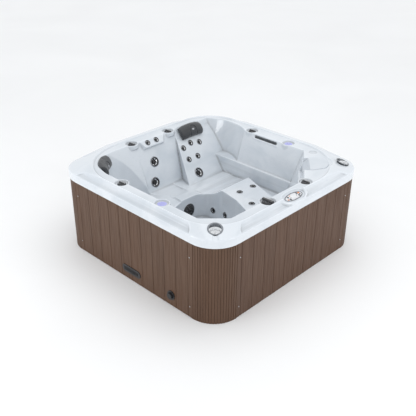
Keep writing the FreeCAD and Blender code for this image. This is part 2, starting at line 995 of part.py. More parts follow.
def neck_pad():
    slope = math.tan(math.radians(neck_tilt))
    face_z = band_z - neck_jet_drop
    reaches = [point[0] for point in on_plan(neck_pad_shares)]
    front_x = max(reaches)
    back_x = min(reaches)
    front_z = face_z - (front_x + neck_jet_x) * slope
    foot_z = front_z - neck_pad_edge - (front_x - back_x) * slope + neck_pad_depth
    points = [
        V(back_x, -lip_half, band_z),
        V(-neck_jet_x - neck_jet_drop / slope, -lip_half, band_z),
        V(front_x, -lip_half, front_z),
        V(front_x, -lip_half, front_z - neck_pad_edge),
        V(back_x + neck_pad_depth, -lip_half, foot_z),
        V(back_x, -lip_half, foot_z),
    ]
    wedge = Part.Face(Part.makePolygon(points + [points[0]])).extrude(V(0, lip_width, 0))
    return wedge.common(outline_prism(anticlockwise(on_plan(neck_pad_shares)), neck_pad_radius, 0, rim_height))


def suction_frame():
    x = footwell_shares[0][0] * lip_half + floor_draft * (ledge_z - suction_z) / (ledge_z - floor_z)
    normal = V(1, 0, floor_draft / (ledge_z - floor_z)).normalize()
    return V(x, suction_y, suction_z), normal


def fall_frame():
    z = band_z - fall_drop
    y = between(north_edge, ledge_back, fall_drop / (band_z - ledge_z))
    return V(fall_x, y, z)


def make_shell():
    top = rim_top_body()
    void = hollow(0)
    skirt = prism(even_ring(ridge_half, ridge_radii, 0), hem_bottom_z + overrun)
    envelope = top.fuse(skirt)
    shell = top.cut(under_rim())
    shell = shell.fuse(hollow(shell_wall).common(envelope))
    pad = panel_pad().common(prism(even_ring(lip_half - 2 * hem_step, lip_radii, hem_bottom_z), lip_half))
    shell = shell.fuse(pad)
    shell = shell.cut(void)
    bosses = []
    for x, y, radius in recess_places():
        low = band_z - recess_boss_height
        boss = rod(radius + recess_boss_wall, recess_boss_height, V(x, y, low))
        bosses.append(boss)
    bosses.append(neck_pad())
    for x, y in cup_places:
        low = V(x, y, cup_top_z - cup_depth - cup_base)
        bosses.append(rod(cup_radius + shell_wall, rim_height, low).common(rim_top_body()))
    bosses += filter_housing()
    bosses.append(fall_shelf())
    shell = shell.fuse(bosses)
    cuts = []
    for x, y, radius in recess_places():
        cuts.append(rod(radius, knob_recess_depth + overrun, V(x, y, band_z - knob_recess_depth)))
    for x, y in knob_places():
        cuts.append(band_bore(valve_radius, x, y))
    for x, y in light_places:
        cuts.append(band_bore(lamp_body_radius, x, y))
    x, y = diverter_place
    cuts.append(band_bore(diverter_body_radius, x, y))
    blank = V(blank_x, blank_y, band_z - blank_recess_depth)
    cuts.append(rod(blank_recess_radius, blank_recess_depth + overrun, blank))
    for x, y in cup_places:
        cuts.append(cup_disc(x, y, cup_radius, -cup_flange, overrun))
        bowl = cup_bowl_radius + cup_bowl_wall + running_gap
        cuts.append(rod(bowl, cup_depth + overrun, V(x, y, cup_top_z - cup_depth)))
        drain = V(x, y, cup_top_z - 2 * cup_depth)
        cuts.append(rod(cup_drain_radius + running_gap, cup_depth + 2 * overrun, drain))
        cuts.append(cup_notch(x, y))
    floor_rise = panel_pad_rise - panel_sink
    cuts.append(tilted(oval(panel_long + panel_ledge, panel_short + panel_ledge, panel_cut_depth), floor_rise))
    cuts.append(tilted(oval(panel_long, panel_short, panel_cut_depth), floor_rise - panel_recess))
    body_long = panel_long - panel_bezel + running_gap
    body_short = panel_short - panel_bezel + running_gap
    cuts.append(tilted(oval(body_long, body_short, 2 * panel_cut_depth), -panel_cut_depth))
    for place, normal, radius, bore in wall_jets() + small_jets():
        cuts.append(rod(bore + running_gap, 2 * wall_cut_depth, place - normal * wall_cut_depth, normal))
    for place, normal, radius, bore in neck_jets():
        depth = neck_body_depth + jet_body_wall + running_gap
        cuts.append(rod(bore + running_gap, depth + overrun, place - normal * depth, normal))
        elbow_radius = neck_elbow_radius + running_gap
        cuts.append(rod(elbow_radius, neck_elbow_length + overrun, neck_elbow(place), V(-1, 0, 0)))
    place, normal = suction_frame()
    start = place - normal * wall_cut_depth
    cuts.append(rod(suction_pipe_radius + running_gap, 2 * wall_cut_depth, start, normal))
    cuts.append(filter_well())
    cuts.append(fall_slot(running_gap))
    for cutter in cuts:
        shell = shell.cut(cutter)
    solids = sorted(shell.Solids, key=lambda solid: solid.Volume)
    return solids[-1]


def band_bore(radius, x, y):
    return rod(radius + running_gap, band_z, V(x, y, ledge_z))


def cup_notch(x, y):
    side = 1 if y > 0 else -1
    start = cup_bowl_radius + cup_bowl_wall
    length = lip_half - x + outer_corner_radius
    points = [
        V(start, -cup_notch_width / 2, 0),
        V(length, -cup_notch_flare / 2, 0),
        V(length, cup_notch_flare / 2, 0),
        V(start, cup_notch_width / 2, 0),
    ]
    body = Part.Face(Part.makePolygon(points + [points[0]])).extrude(V(0, 0, 2 * wall_cut_depth))
    body.rotate(V(0, 0, 0), V(0, 1, 0), math.degrees(slope_fall()))
    body.rotate(V(0, 0, 0), UP, quarter_turn / 2 * side)
    body.translate(V(x, y, cup_top_z - cup_notch_depth))
    return body


def lid_points(inset):
    return grown(anticlockwise(on_plan(lid_shares)), -inset)


def mouth_block(start, growth):
    depth = front_top_distance - front_distance + 2 * well_inset
    half = mouth_width / 2 + growth
    block = box(start, depth + growth, -half, half, -growth, mouth_height + growth)
    block.rotate(V(0, 0, 0), UP, front_angle)
    along = V(-math.sin(math.radians(front_angle)), math.cos(math.radians(front_angle)), 0)
    block.translate(front_frame(front_distance, well_floor_z) + along * along.dot(lid_front_middle()))
    return block


def filter_housing():
    top_z = band_z - lid_plate - running_gap
    bucket = outline_prism(lid_points(well_inset - shell_wall), well_inset, well_floor_z - shell_wall, top_z)
    collar_base = V(canister_x, canister_y, well_floor_z - canister_collar)
    collar = rod(canister_radius + shell_wall, canister_collar, collar_base)
    front = front_block(lid_gap + shell_wall, shell_wall, 0, 0).common(filter_corner(0))
    duct = mouth_block(-mouth_reach, shell_wall).common(filter_corner(0))
    return [bucket, duct, collar, front]


def filter_well():
    top = outline_prism(lid_points(0), well_inset, band_z - lid_plate - running_gap, rim_height + overrun)
    well = outline_prism(lid_points(well_inset), well_inset / 2, well_floor_z, band_z)
    slant = front_block(lid_gap, 0, overrun, overrun)
    mouth = mouth_block(-mouth_reach - overrun, 0)
    bore = rod(canister_radius + running_gap, well_floor_z + overrun, V(canister_x, canister_y, 0))
    return join([top, well, slant, mouth, bore])


def lid_front_ends():
    points = on_plan(lid_shares)
    return V(points[0][0], points[0][1], 0), V(points[-1][0], points[-1][1], 0)


def lid_front_middle():
    first, last = lid_front_ends()
    return (first + last) / 2


def front_bar(profile, gap):
    first, last = lid_front_ends()
    along = (first - last).normalize()
    outward = V(along.y, -along.x, 0)
    if outward.dot(first) < 0:
        outward = outward * -1
    half = (first - last).Length / 2 - well_inset + gap
    start = lid_front_middle() - along * half
    corners = [start + outward * a + V(0, 0, z) for a, z in profile]
    face = Part.Face(Part.makePolygon(corners + [corners[0]]))
    return face.extrude(along * (2 * half))


def rib_front():
    run = front_top_distance - front_distance
    fall = band_z - front_lip_z
    return front_bar([
        (overrun, band_z),
        (0, band_z),
        (-run, band_z - fall),
        (-run, band_z - fall - lid_plate),
        (0, band_z - lid_plate),
        (overrun, band_z - lid_plate),
    ], 0)


def front_block(gap, floor, rise, reach):
    run = front_top_distance - front_distance
    fall = band_z - front_lip_z
    low_z = band_z - lid_plate - running_gap - floor
    return front_bar([
        (overrun, band_z + rise),
        (-run - reach, band_z + rise),
        (-run - reach, low_z - fall * (run + reach) / run),
        (0, low_z),
        (overrun, low_z),
    ], gap)


def fall_slot(gap):
    place = fall_frame()
    half = fall_length / 2 + gap
    high = fall_height / 2 + gap
    return box(place.x - half, place.x + half, place.y - overrun, place.y + fall_depth + gap, place.z - high,
               place.z + high)


def turned_knob(radius, height, taper, lever_length, lever_width, lever_height, place):
    cone = Part.makeCone(radius, radius - taper, height, V(0, 0, 0))
    lever = box(-lever_length / 2, lever_length / 2, -lever_width / 2, lever_width / 2, height - lever_height / 2,
                height + lever_height / 2)
    bore = rod(knob_bore, spindle_height + overrun, V(0, 0, -overrun))
    body = cone.fuse(lever).cut(bore)
    body.translate(place)
    return body


def knob_seat_z():
    return band_z - knob_recess_depth + knob_seat_gap


def make_knobs():
    for name, x, y in band_fittings:
        knob = turned_knob(knob_radius, knob_height, knob_taper, knob_grip_length, knob_grip_width,
                           knob_grip_height, V(x, y, knob_seat_z()))
        save(knob, "air_" + name)
    x, y = diverter_place
    knob = turned_knob(diverter_radius, diverter_height, knob_taper, diverter_lever_length, diverter_lever_width,
                       diverter_lever_height, V(x, y, knob_seat_z()))
    save(knob, "diverter_knob")


def make_valves():
    bodies = []
    for x, y in knob_places():
        bodies.append(valve_body(valve_radius, valve_length, V(x, y, band_z - knob_recess_depth)))
    save(group(bodies), "air_valve_bodies")
    x, y = diverter_place
    top = V(x, y, band_z - knob_recess_depth)
    body = valve_body(diverter_body_radius, diverter_body_length, top)
    port_z = top.z - diverter_body_length + diverter_port_radius * 2
    port = rod(diverter_port_radius, diverter_body_radius + diverter_port_radius, V(x, y, port_z), V(0, -1, 0))
    save(body.fuse(port).removeSplitter(), "diverter_body")


def valve_body(radius, length, top):
    body = rod(radius, length, top - V(0, 0, length))
    return body.fuse(rod(spindle_radius, spindle_height, top))


def make_lights():
    lenses = []
    lamps = []
    for x, y in light_places:
        base = V(x, y, band_z - knob_recess_depth)
        disc = rod(lens_radius, lens_thickness, base)
        dome_radius = (lens_radius * lens_radius + lens_crown * lens_crown) / (2 * lens_crown)
        dome = Part.makeSphere(dome_radius, base + V(0, 0, lens_thickness + lens_crown - dome_radius))
        cap = dome.common(rod(lens_radius, lens_crown + lens_thickness, base))
        lenses.append(disc.fuse(cap).removeSplitter())
        lamps.append(rod(lamp_body_radius, lamp_body_length, base - V(0, 0, lamp_body_length)))
    save(group(lenses), "light_lenses")
    save(group(lamps), "light_housings")


def make_cup_liners():
    liners = []
    for x, y in cup_places:
        base = V(x, y, cup_top_z - cup_depth)
        cup = rod(cup_bowl_radius + cup_bowl_wall, 2 * cup_depth, base)
        cup = cup.common(cup_disc(x, y, 2 * cup_radius, -2 * cup_depth, 0))
        flange = cup_disc(x, y, cup_radius - running_gap, -cup_flange, 0)
        stem = rod(cup_drain_radius, cup_drain_length, base - V(0, 0, cup_drain_length))
        inside = rod(cup_bowl_radius, 2 * cup_depth, base + V(0, 0, cup_floor))
        bore = rod(cup_drain_radius / 2, cup_drain_length + 2 * overrun, base - V(0, 0, cup_drain_length + overrun))
        liners.append(join([cup, flange, stem]).cut([inside, bore]))
    save(group(liners), "cup_liners")


def jet_face(place, normal, radius, bore, lip, fins):
    body = rod(radius, lip, V(0, 0, running_gap))
    cone = Part.makeCone(radius, radius - lip, lip, V(0, 0, running_gap))
    body = body.common(cone)
    neck = rod(bore - 2 * jet_body_wall, big_jet_depth, V(0, 0, running_gap - big_jet_depth))
    body = body.fuse(neck)
    rim = bore - jet_rim
    dish = rod(rim, big_jet_depth, V(0, 0, running_gap - lip / 2))
    body = body.cut(dish)
    throat = rod(bore * jet_nozzle_share, 2 * big_jet_depth, V(0, 0, lip - 2 * big_jet_depth))
    body = body.cut(throat)
    for index in range(fins):
        angle = full_turn * index / fins
        inner = bore * jet_nozzle_share - jet_body_wall
        fin = box(inner, rim, -jet_body_wall / 2, jet_body_wall / 2, running_gap - lip, running_gap + lip / 2)
        fin.rotate(V(0, 0, 0), UP, angle)
        body = body.fuse(fin)
    return placed(body.removeSplitter(), place, normal)


def placed(shape, place, normal):
    body = shape.copy()
    body.Placement = FreeCAD.Placement(place, FreeCAD.Rotation(UP, normal)).multiply(body.Placement)
    return body


def jet_body(place, normal, bore):
    wall = tube(bore, bore - jet_body_wall, jet_body_length, V(0, 0, -jet_body_length))
    base = rod(bore, jet_body_wall, V(0, 0, -jet_body_length - jet_body_wall))
    stub = rod(jet_stub_radius, jet_stub_radius * 2, V(0, 0, -jet_body_length - jet_body_wall - jet_stub_radius * 2))
    return placed(join([wall, base, stub]), place, normal)


def neck_body(place, bore):
    normal = neck_normal()
    foot = place - normal * neck_body_depth
    wall = tube(bore, bore - jet_body_wall, neck_body_depth, foot, normal)
    base = rod(bore, jet_body_wall, foot - normal * jet_body_wall, normal)
    elbow = rod(neck_elbow_radius, neck_elbow_length, neck_elbow(place), V(-1, 0, 0))
    bore_cut = rod(bore - jet_body_wall, neck_body_depth, foot, normal)
    return join([wall, base, elbow]).cut(bore_cut)


def neck_elbow(place):
    return place - neck_normal() * (neck_body_depth + jet_body_wall - neck_elbow_radius)


def make_jets():
    names = ("backrest_jet_upper", "backrest_jet_lower", "lounger_jet")
    for name, jet in zip(names, wall_jets()):
        place, normal, radius, bore = jet
        save(jet_face(place, normal, radius, bore, big_jet_lip, jet_fin_count), name)
    faces = []
    for place, normal, radius, bore in small_jets() + neck_jets():
        faces.append(jet_face(place, normal, radius, bore, small_jet_lip, small_fin_count))
    save(group(faces), "small_jet_faces")
    bodies = []
    for place, normal, radius, bore in wall_jets() + small_jets():
        bodies.append(jet_body(place, normal, bore))
    for place, normal, radius, bore in neck_jets():
        bodies.append(neck_body(place, bore))
    save(group(bodies), "jet_bodies")


def make_suction():
    place, normal = suction_frame()
    dome_radius = (suction_radius ** 2 + suction_height ** 2) / (2 * suction_height)
    outer = Part.makeSphere(dome_radius, V(0, 0, suction_height - dome_radius))
    inner_height = suction_height - suction_wall
    inner_radius = suction_radius - suction_wall
    hollow_radius = (inner_radius ** 2 + inner_height ** 2) / (2 * inner_height)
    inner = Part.makeSphere(hollow_radius, V(0, 0, inner_height - hollow_radius))
    cap = outer.common(rod(suction_radius, suction_height, V(0, 0, 0)))
    cap = cap.cut(inner)
    for index in range(suction_slots):
        slot = box(suction_hub_radius, suction_radius - 2 * suction_wall, -suction_slot_width / 2,
                   suction_slot_width / 2, 0, 2 * suction_height)
        slot.rotate(V(0, 0, 0), UP, full_turn * index / suction_slots)
        if index % 2 == 0:
            cap = cap.cut(slot)
    save(placed(cap, place + normal * running_gap, normal), "suction_cover")
    start = V(0, 0, -suction_body_length)
    body = tube(suction_pipe_radius, suction_pipe_radius - jet_body_wall, suction_body_length, start)
    save(placed(body, place, normal), "suction_body")


def make_waterfall():
    place = fall_frame()
    body = fall_slot(0).cut(box(place.x - fall_length, place.x + fall_length, place.y - 2 * overrun, place.y,
                                band_z - lip_half, lip_half))
    half = fall_length / 2
    throat = box(place.x - half + fall_lip_height, place.x + half - fall_lip_height, place.y - overrun,
                 place.y + fall_depth / 2, place.z - fall_height / 2 + fall_lip_height / 2,
                 place.z + fall_height / 2 - fall_lip_height / 2)
    body = body.cut(throat)
    pitch = (fall_length - 2 * fall_lip_height) / fall_rib_count
    ribs = []
    for index in range(1, fall_rib_count):
        x = place.x - half + fall_lip_height + pitch * index
        half_rib = fall_rib_width / 2
        ribs.append(box(x - half_rib, x + half_rib, place.y, place.y + fall_depth / 2, place.z - fall_height / 2,
                        place.z + fall_height / 2))
    body = body.fuse(ribs).removeSplitter()
    save(body, "waterfall_spout")


def fall_shelf():
    place = fall_frame()
    half = fall_length / 2 + fall_lip
    low = place.z - fall_height / 2 - running_gap
    return box(place.x - half, place.x + half, place.y - fall_lip, place.y + fall_lip, low - fall_lip_height, low)


def make_filter():
    plate = outline_prism(lid_points(lid_gap), well_inset, band_z - lid_plate, band_z)
    skirt = rib_front()
    lid = plate.fuse(skirt).removeSplitter()
    first, last = lid_front_ends()
    along = (first - last).normalize()
    outward = V(math.cos(math.radians(front_angle)), math.sin(math.radians(front_angle)), 0)
    half = (first - last).Length / 2 - well_inset
    middle = (first + last) / 2
    run = front_top_distance - front_distance
    fall = band_z - front_lip_z
    slope = V(-outward.x * run, -outward.y * run, -fall)
    pitch = 2 * half / front_rib_count
    for index in range(1, front_rib_count):
        base = middle + along * (-half + pitch * index) + V(0, 0, band_z)
        normal = along.cross(slope).normalize()
        if normal.z < 0:
            normal = normal * -1
        groove_width = pitch * front_rib_share
        start = base - along * (groove_width / 2) + slope * front_rib_start_share - normal * front_rib_depth
        corners = [start, start + along * groove_width, start + along * groove_width + slope, start + slope]
        face = Part.Face(Part.makePolygon(corners + [corners[0]]))
        lid = lid.cut(face.extrude(normal * overrun))
    save(lid, "filter_lid")
    top = V(canister_x, canister_y, well_floor_z)
    wall = tube(canister_radius, canister_radius - canister_wall, canister_depth, top - V(0, 0, canister_depth))
    base = rod(canister_radius, canister_wall, top - V(0, 0, canister_depth + canister_wall))
    port = rod(suction_pipe_radius, 2 * overrun, top - V(0, 0, canister_depth + canister_wall + 2 * overrun))
    bore = rod(suction_pipe_radius - canister_wall, lip_half, top - V(0, 0, lip_half))
    save(join([wall, base, port]).cut(bore), "filter_canister")
    low = top - V(0, 0, canister_depth - running_gap)
    pleats = []
    core = rod(cartridge_radius - pleat_depth, cartridge_height, low)
    for index in range(cartridge_pleats):
        angle = math.radians(full_turn * index / cartridge_pleats)
        centre = low + V(math.cos(angle), math.sin(angle), 0) * (cartridge_radius - pleat_depth)
        pleats.append(rod(pleat_depth * pleat_share, cartridge_height, centre))
    body = core.fuse(pleats)
    head = low + V(0, 0, cartridge_height)
    caps = [rod(cartridge_radius, cartridge_cap, start) for start in (low, head)]
    body = body.fuse(caps).cut(rod(cartridge_bore, 2 * lip_half, low - V(0, 0, lip_half)))
    handle_z = low.z + cartridge_height + cartridge_cap
    handle = box(canister_x - cartridge_radius / 2, canister_x + cartridge_radius / 2, canister_y - cartridge_cap / 2,
                 canister_y + cartridge_cap / 2, handle_z - cartridge_cap / 2, handle_z + cartridge_cap)
    save(body.fuse(handle).removeSplitter(), "filter_cartridge")
    make_weir()


def make_weir():
    half = mouth_width / 2 - running_gap
    flap = box(-weir_thickness / 2, weir_thickness / 2, -half, half, 0, mouth_height * weir_share)
    barrel = rod(weir_thickness, 2 * half, V(0, -half, 0), V(0, 1, 0))
    flap = flap.fuse(barrel).removeSplitter()
    flap.rotate(V(0, 0, 0), UP, front_angle)
    flap.translate(weir_axis_point())
    save(flap, "weir_flap")


def weir_axis_point():
    outward = V(math.cos(math.radians(front_angle)), math.sin(math.radians(front_angle)), 0)
    along = V(-outward.y, outward.x, 0)
    offset = along.dot(lid_front_middle())
    distance = front_distance + weir_offset
    return outward * distance + along * offset + V(0, 0, well_floor_z + weir_thickness + running_gap)


def make_panel():
    housing = oval(panel_long - running_gap, panel_short - running_gap, panel_bezel)
    body_long = panel_long - panel_bezel
    body_short = panel_short - panel_bezel
    under = oval(body_long, body_short, panel_thickness)
    under.translate(V(0, 0, -panel_thickness))
    housing = housing.fuse(under)
    screen = box(-display_width / 2, display_width / 2, -display_length / 2, display_length / 2, 0, overrun)
    screen.translate(V(0, 0, panel_bezel - display_thickness))
    housing = housing.cut(screen)
    for x, y in button_places():
        housing = housing.cut(rod(button_radius + button_gap, overrun, V(x, y, panel_bezel - button_height)))
    rise = panel_pad_rise - panel_sink - panel_recess
    save(tilted(housing, rise), "panel_housing")
    glass = box(-display_width / 2 + running_gap, display_width / 2 - running_gap, -display_length / 2 + running_gap,
                display_length / 2 - running_gap, panel_bezel - display_thickness, panel_bezel)
    save(tilted(glass, rise), "panel_display")
    for index, place in enumerate(button_places()):
        x, y = place
        low = panel_bezel - button_height + button_travel + running_gap
        button = rod(button_radius, panel_bezel + button_proud - low, V(x, y, low))
        save(tilted(button, rise), "panel_button_%d" % (index + 1))


def button_places():
    return [(side * button_row, end * button_spread) for end in (-1, 1) for side in (-1, 1)]


def pillow_section(height_scale, depth_scale):
    half = pillow_height * height_scale / 2
    depth = pillow_thickness * depth_scale
    bulge = half * bulge_share
    waist = depth * waist_share
    shoulder_y = half * pillow_shoulder_share
    brow = half * brow_share
    low = V(0, -half, 0)
    high = V(0, half, 0)
    low_side = V(0, -shoulder_y, depth * shoulder_rise_share)
    high_side = V(0, shoulder_y, depth * shoulder_rise_share)
    crown = V(0, 0, depth)
    arcs = [
        Part.Arc(low, V(0, -bulge, waist), low_side).toShape(),
        Part.Arc(low_side, V(0, -brow, depth * brow_rise_share), crown).toShape(),
        Part.Arc(crown, V(0, brow, depth * brow_rise_share), high_side).toShape(),
        Part.Arc(high_side, V(0, bulge, waist), high).toShape(),
        Part.LineSegment(high, low).toShape(),
    ]
    return Part.Wire(arcs)


def pillow(bend):
    wires = []
    for index in range(pillow_sections):
        share = 2.0 * index / (pillow_sections - 1) - 1
        crown = math.sqrt(1 - (share * end_round_share) ** 2)
        wire = pillow_section(between(pillow_end_share, 1, crown), between(pillow_end_share / 2, 1, crown))
        along = share * pillow_length / 2
        if bend:
            angle = along / bend
            turn = FreeCAD.Rotation(V(0, 1, 0), math.degrees(-angle))
            place = V(math.sin(angle) * bend, 0, bend - math.cos(angle) * bend)
        else:
            turn = FreeCAD.Rotation()
            place = V(along, 0, 0)
        wire.Placement = FreeCAD.Placement(place, turn)
        wires.append(wire)
    return Part.makeLoft(wires, True, False)


def make_pillows():
    z = band_z - pillow_drop
    back = pillow(0)
    back.Placement = wall_placement(back_pillow_place() + back_normal * pillow_gap, back_normal)
    save(back, "pillow_back")
    foot = V(-scoop_foot_offset, -scoop_foot_offset, seat_z - scoop_floor_drop)
    top = V(-scoop_top_offset, -scoop_top_offset, band_z)
    axis = (top - foot).normalize()
    outward = V(-1, -1, 0).normalize()
    outward = (outward - axis * outward.dot(axis)).normalize()
    bend = scoop_radius - pillow_gap
    share = (z - outward.z * bend - foot.z) / (top.z - foot.z)
    centre = foot + (top - foot) * share
    corner = pillow(bend)
    place = centre + outward * bend
    corner.Placement = wall_placement(place, outward * -1)
    save(corner, "pillow_left")


def plank_span():
    return cabinet_half - cabinet_radius


def make_planks():
    span = plank_span()
    top = hem_bottom_z - hem_gap
    names = ("panel_south", "panel_east", "panel_north", "panel_west")
    for turn, name in enumerate(names):
        outer = -cabinet_half
        board = box(-span, span, outer, outer + plank_thickness, base_gap, top)
        pitch = 2 * (span - flange_width) / plank_count
        for index in range(plank_count + 1):
            x = flange_width - span + pitch * index
            seam = box(x - seam_width / 2, x + seam_width / 2, outer - overrun, outer + seam_depth, 0, top + overrun)
            board = board.cut(seam)
        for side in (-1, 1):
            for z in (screw_low_z, screw_high_z):
                hole = rod(screw_shank_radius + running_gap, 2 * overrun + plank_thickness,
                           V(side * screw_place(), outer - overrun, z), V(0, 1, 0))
                board = board.cut(hole)
        depth = 2 * overrun + plank_thickness
        if name == "panel_south":
            start = V(drain_x, outer - overrun, drain_z)
            board = board.cut([vent_opening(0), rod(drain_pipe_radius + running_gap, depth, start, V(0, 1, 0))])
        if name == "panel_north":
            start = V(-inlet_x, outer - overrun, inlet_z)
            board = board.cut(rod(inlet_radius / 2 + running_gap, depth, start, V(0, 1, 0)))
        board.rotate(V(0, 0, 0), UP, quarter_turn * turn)
        save(board, name)


def screw_place():
    return plank_span() - screw_inset


def vent_opening(inset):
    half = vent_length / 2 - vent_height / 2
    radius = vent_height / 2 - vent_rim - inset
    depth = 2 * overrun + plank_thickness
    start = -cabinet_half - overrun
    bars = [rod(radius, depth, V(vent_x + side * half, start, vent_z), V(0, 1, 0)) for side in (-1, 1)]
    bars.append(box(vent_x - half, vent_x + half, start, start + depth, vent_z - radius, vent_z + radius))
    return join(bars)


def make_corners():
    top = hem_bottom_z - hem_gap
    names = ("corner_panel_near", "corner_panel_right", "corner_panel_back", "corner_panel_left")
    centre = cabinet_half - cabinet_radius
    gap = running_gap
    for turn, name in enumerate(names):
        outer = rod(cabinet_radius, top, V(0, 0, 0))
        inner = rod(cabinet_radius - corner_thickness, top + 2 * overrun, V(0, 0, -overrun))
        quarter = box(gap, cabinet_radius, -cabinet_radius, -gap, 0, top)
        body = outer.cut(inner).common(quarter)
        for index in range(corner_rib_count):
            angle = -quarter_turn * (index + 1 / 2) / corner_rib_count
            groove = box(cabinet_radius - corner_rib_depth, cabinet_radius + overrun, -corner_groove_width / 2,
                         corner_groove_width / 2, -overrun, top + overrun)
            groove.rotate(V(0, 0, 0), UP, angle)
            body = body.cut(groove)
        body.translate(V(centre, -centre, 0))
        body.rotate(V(0, 0, 0), UP, quarter_turn * turn)
        save(body, name)


def make_screws():
    screws = []
    for turn in range(side_count):
        for side in (-1, 1):
            for z in (screw_low_z, screw_high_z):
                face = V(side * screw_place(), -cabinet_half, z)
                head = rod(screw_radius, screw_head, face - V(0, screw_head, 0), V(0, 1, 0))
                shank = rod(screw_shank_radius, screw_length, face, V(0, 1, 0))
                screw = head.fuse(shank).removeSplitter()
                screw.rotate(V(0, 0, 0), UP, quarter_turn * turn)
                screws.append(screw)
    save(group(screws), "panel_screws")


def make_vent():
    half = vent_length / 2 - vent_height / 2
    face_y = -cabinet_half - vent_thickness
    def stadium(radius, start, depth):
        bars = [rod(radius, depth, V(vent_x + side * half, start, vent_z), V(0, 1, 0)) for side in (-1, 1)]
        bars.append(box(vent_x - half, vent_x + half, start, start + depth, vent_z - radius, vent_z + radius))
        return join(bars)
    plate = stadium(vent_height / 2, face_y, vent_thickness)
    neck = stadium(vent_height / 2 - vent_rim - running_gap, -cabinet_half, vent_neck)
    body = plate.fuse(neck).removeSplitter()
    pitch = (vent_length - 2 * vent_rim - vent_height / 2) / vent_slots
    slot_half = vent_height / 2 - 2 * vent_rim
    for index in range(vent_slots):
        x = vent_x + pitch * (index - (vent_slots - 1) / 2)
        slot = box(x - vent_slot_width / 2, x + vent_slot_width / 2, face_y - overrun,
                   face_y + 2 * overrun + vent_neck, vent_z - slot_half, vent_z + slot_half)
        body = body.cut(slot)
    save(body, "vent_grille")


def make_drain():
    face = V(drain_x, -cabinet_half, drain_z)
    inward = V(0, 1, 0)
    flange = rod(drain_flange_radius, drain_flange, face - inward * drain_flange, inward)
    pipe = rod(drain_pipe_radius, drain_body_length, face, inward)
    body = flange.fuse(pipe).cut(rod(drain_bore, lip_half, face - inward * (2 * drain_flange), inward))
    save(body.removeSplitter(), "drain_valve")
    front = face - inward * (drain_flange + running_gap + drain_cap_height)
    cap = rod(drain_cap_radius, drain_cap_height, front, inward)
    for index in range(drain_cap_flutes):
        angle = math.radians(full_turn * index / drain_cap_flutes)
        centre = front + V(math.cos(angle) * drain_cap_radius, -overrun, math.sin(angle) * drain_cap_radius)
        cap = cap.cut(rod(drain_flute_radius, drain_cap_height + 2 * overrun, centre, inward))
    plug_start = front + inward * drain_cap_height
    plug = rod(drain_bore - running_gap, drain_flange * 2, plug_start, inward)
    save(cap.fuse(plug).removeSplitter(), "drain_cap")
    place = V(inlet_x, cabinet_half, inlet_z)
    gland = rod(inlet_radius, inlet_proud, place, inward)
    thread = rod(inlet_radius / 2, inlet_length, place - inward * inlet_length, inward)
    gland = gland.fuse(thread).cut(rod(inlet_bore / 2, lip_half, place - inward * (lip_half / 2), inward))
    save(gland.removeSplitter(), "supply_gland")


def make_base():
    half = cabinet_half - corner_thickness - base_setback
    radii = [cabinet_radius - corner_thickness - base_setback] * side_count
    inner_radii = [radius - base_rim_wall for radius in radii]
    tray = prism(even_ring(half, radii, 0), base_rim_height)
    pocket = prism(even_ring(half - base_rim_wall, inner_radii, base_thickness), base_rim_height)
    save(tray.cut(pocket), "base_pan")


def frame_line():
    return cabinet_half - plank_thickness - rail_gap


def make_frame():
    line = frame_line()
    top = hem_bottom_z - hem_gap
    posts = []
    inner = line - base_rim_wall - base_setback - 2 * post_inset
    for turn in range(side_count):
        for side in (-1, 1):
            middle = side * post_offset
            post = box(middle - post_size / 2, middle + post_size / 2, -inner, post_size - inner,
                       base_thickness, top - rail_height)
            post.rotate(V(0, 0, 0), UP, quarter_turn * turn)
            posts.append(post)
    save(group(posts), "frame_posts")
    rails = []
    for turn in range(side_count):
        rail = box(-plank_span(), plank_span(), -line, post_size - inner, top - rail_height, top)
        rail.rotate(V(0, 0, 0), UP, quarter_turn * turn)
        rails.append(rail)
    save(group(rails), "top_rails")


def make_boards():
    line = frame_line()
    boards = []
    outer = line - base_rim_wall - base_setback - 2 * post_inset
    half = post_offset - post_size / 2 - board_gap
    low = base_thickness
    high = hem_bottom_z - hem_gap - rail_height - board_gap
    for turn in range(side_count):
        lowest = low
        board = box(-half, half, -outer, -outer + board_thickness, lowest, high)
        if turn == 0:
            board = board.cut(box(vent_x - vent_length / 2, vent_x + vent_length / 2, -lip_half, 0, 0,
                                  vent_z + vent_height))
            board = board.cut(rod(drain_pipe_radius + board_gap, lip_half, V(drain_x, -lip_half, drain_z), V(0, 1, 0)))
        board.rotate(V(0, 0, 0), UP, quarter_turn * turn)
        boards.append(board)
    save(group(boards), "insulation_boards")


def route_pipe(points, radius, bore):
    bend = pipe_bend * pipe_bend_share
    corners = [V(x, y, z) for x, y, z in points]
    edges = []
    start = corners[0]
    for index in range(1, len(corners) - 1):
        here = corners[index]
        before = (corners[index - 1] - here).normalize()
        after = (corners[index + 1] - here).normalize()
        half = before.getAngle(after) / 2
        reach = bend / math.tan(half)
        bisector = (before + after).normalize()
        enter = here + before * reach
        leave = here + after * reach
        middle = here + bisector * (bend / math.sin(half) - bend)
        edges.append(Part.LineSegment(start, enter).toShape())
        edges.append(Part.Arc(enter, middle, leave).toShape())
        start = leave
    edges.append(Part.LineSegment(start, corners[-1]).toShape())
    path = Part.Wire(edges)
    direction = (corners[1] - corners[0]).normalize()
    def sweep(size):
        profile = Part.Wire(Part.Circle(corners[0], direction, size).toShape())
        return path.makePipeShell([profile], True, False)
    return sweep(radius).cut(sweep(bore))


def pump_axis_z():
    return base_thickness + pump_foot_height + wet_radius


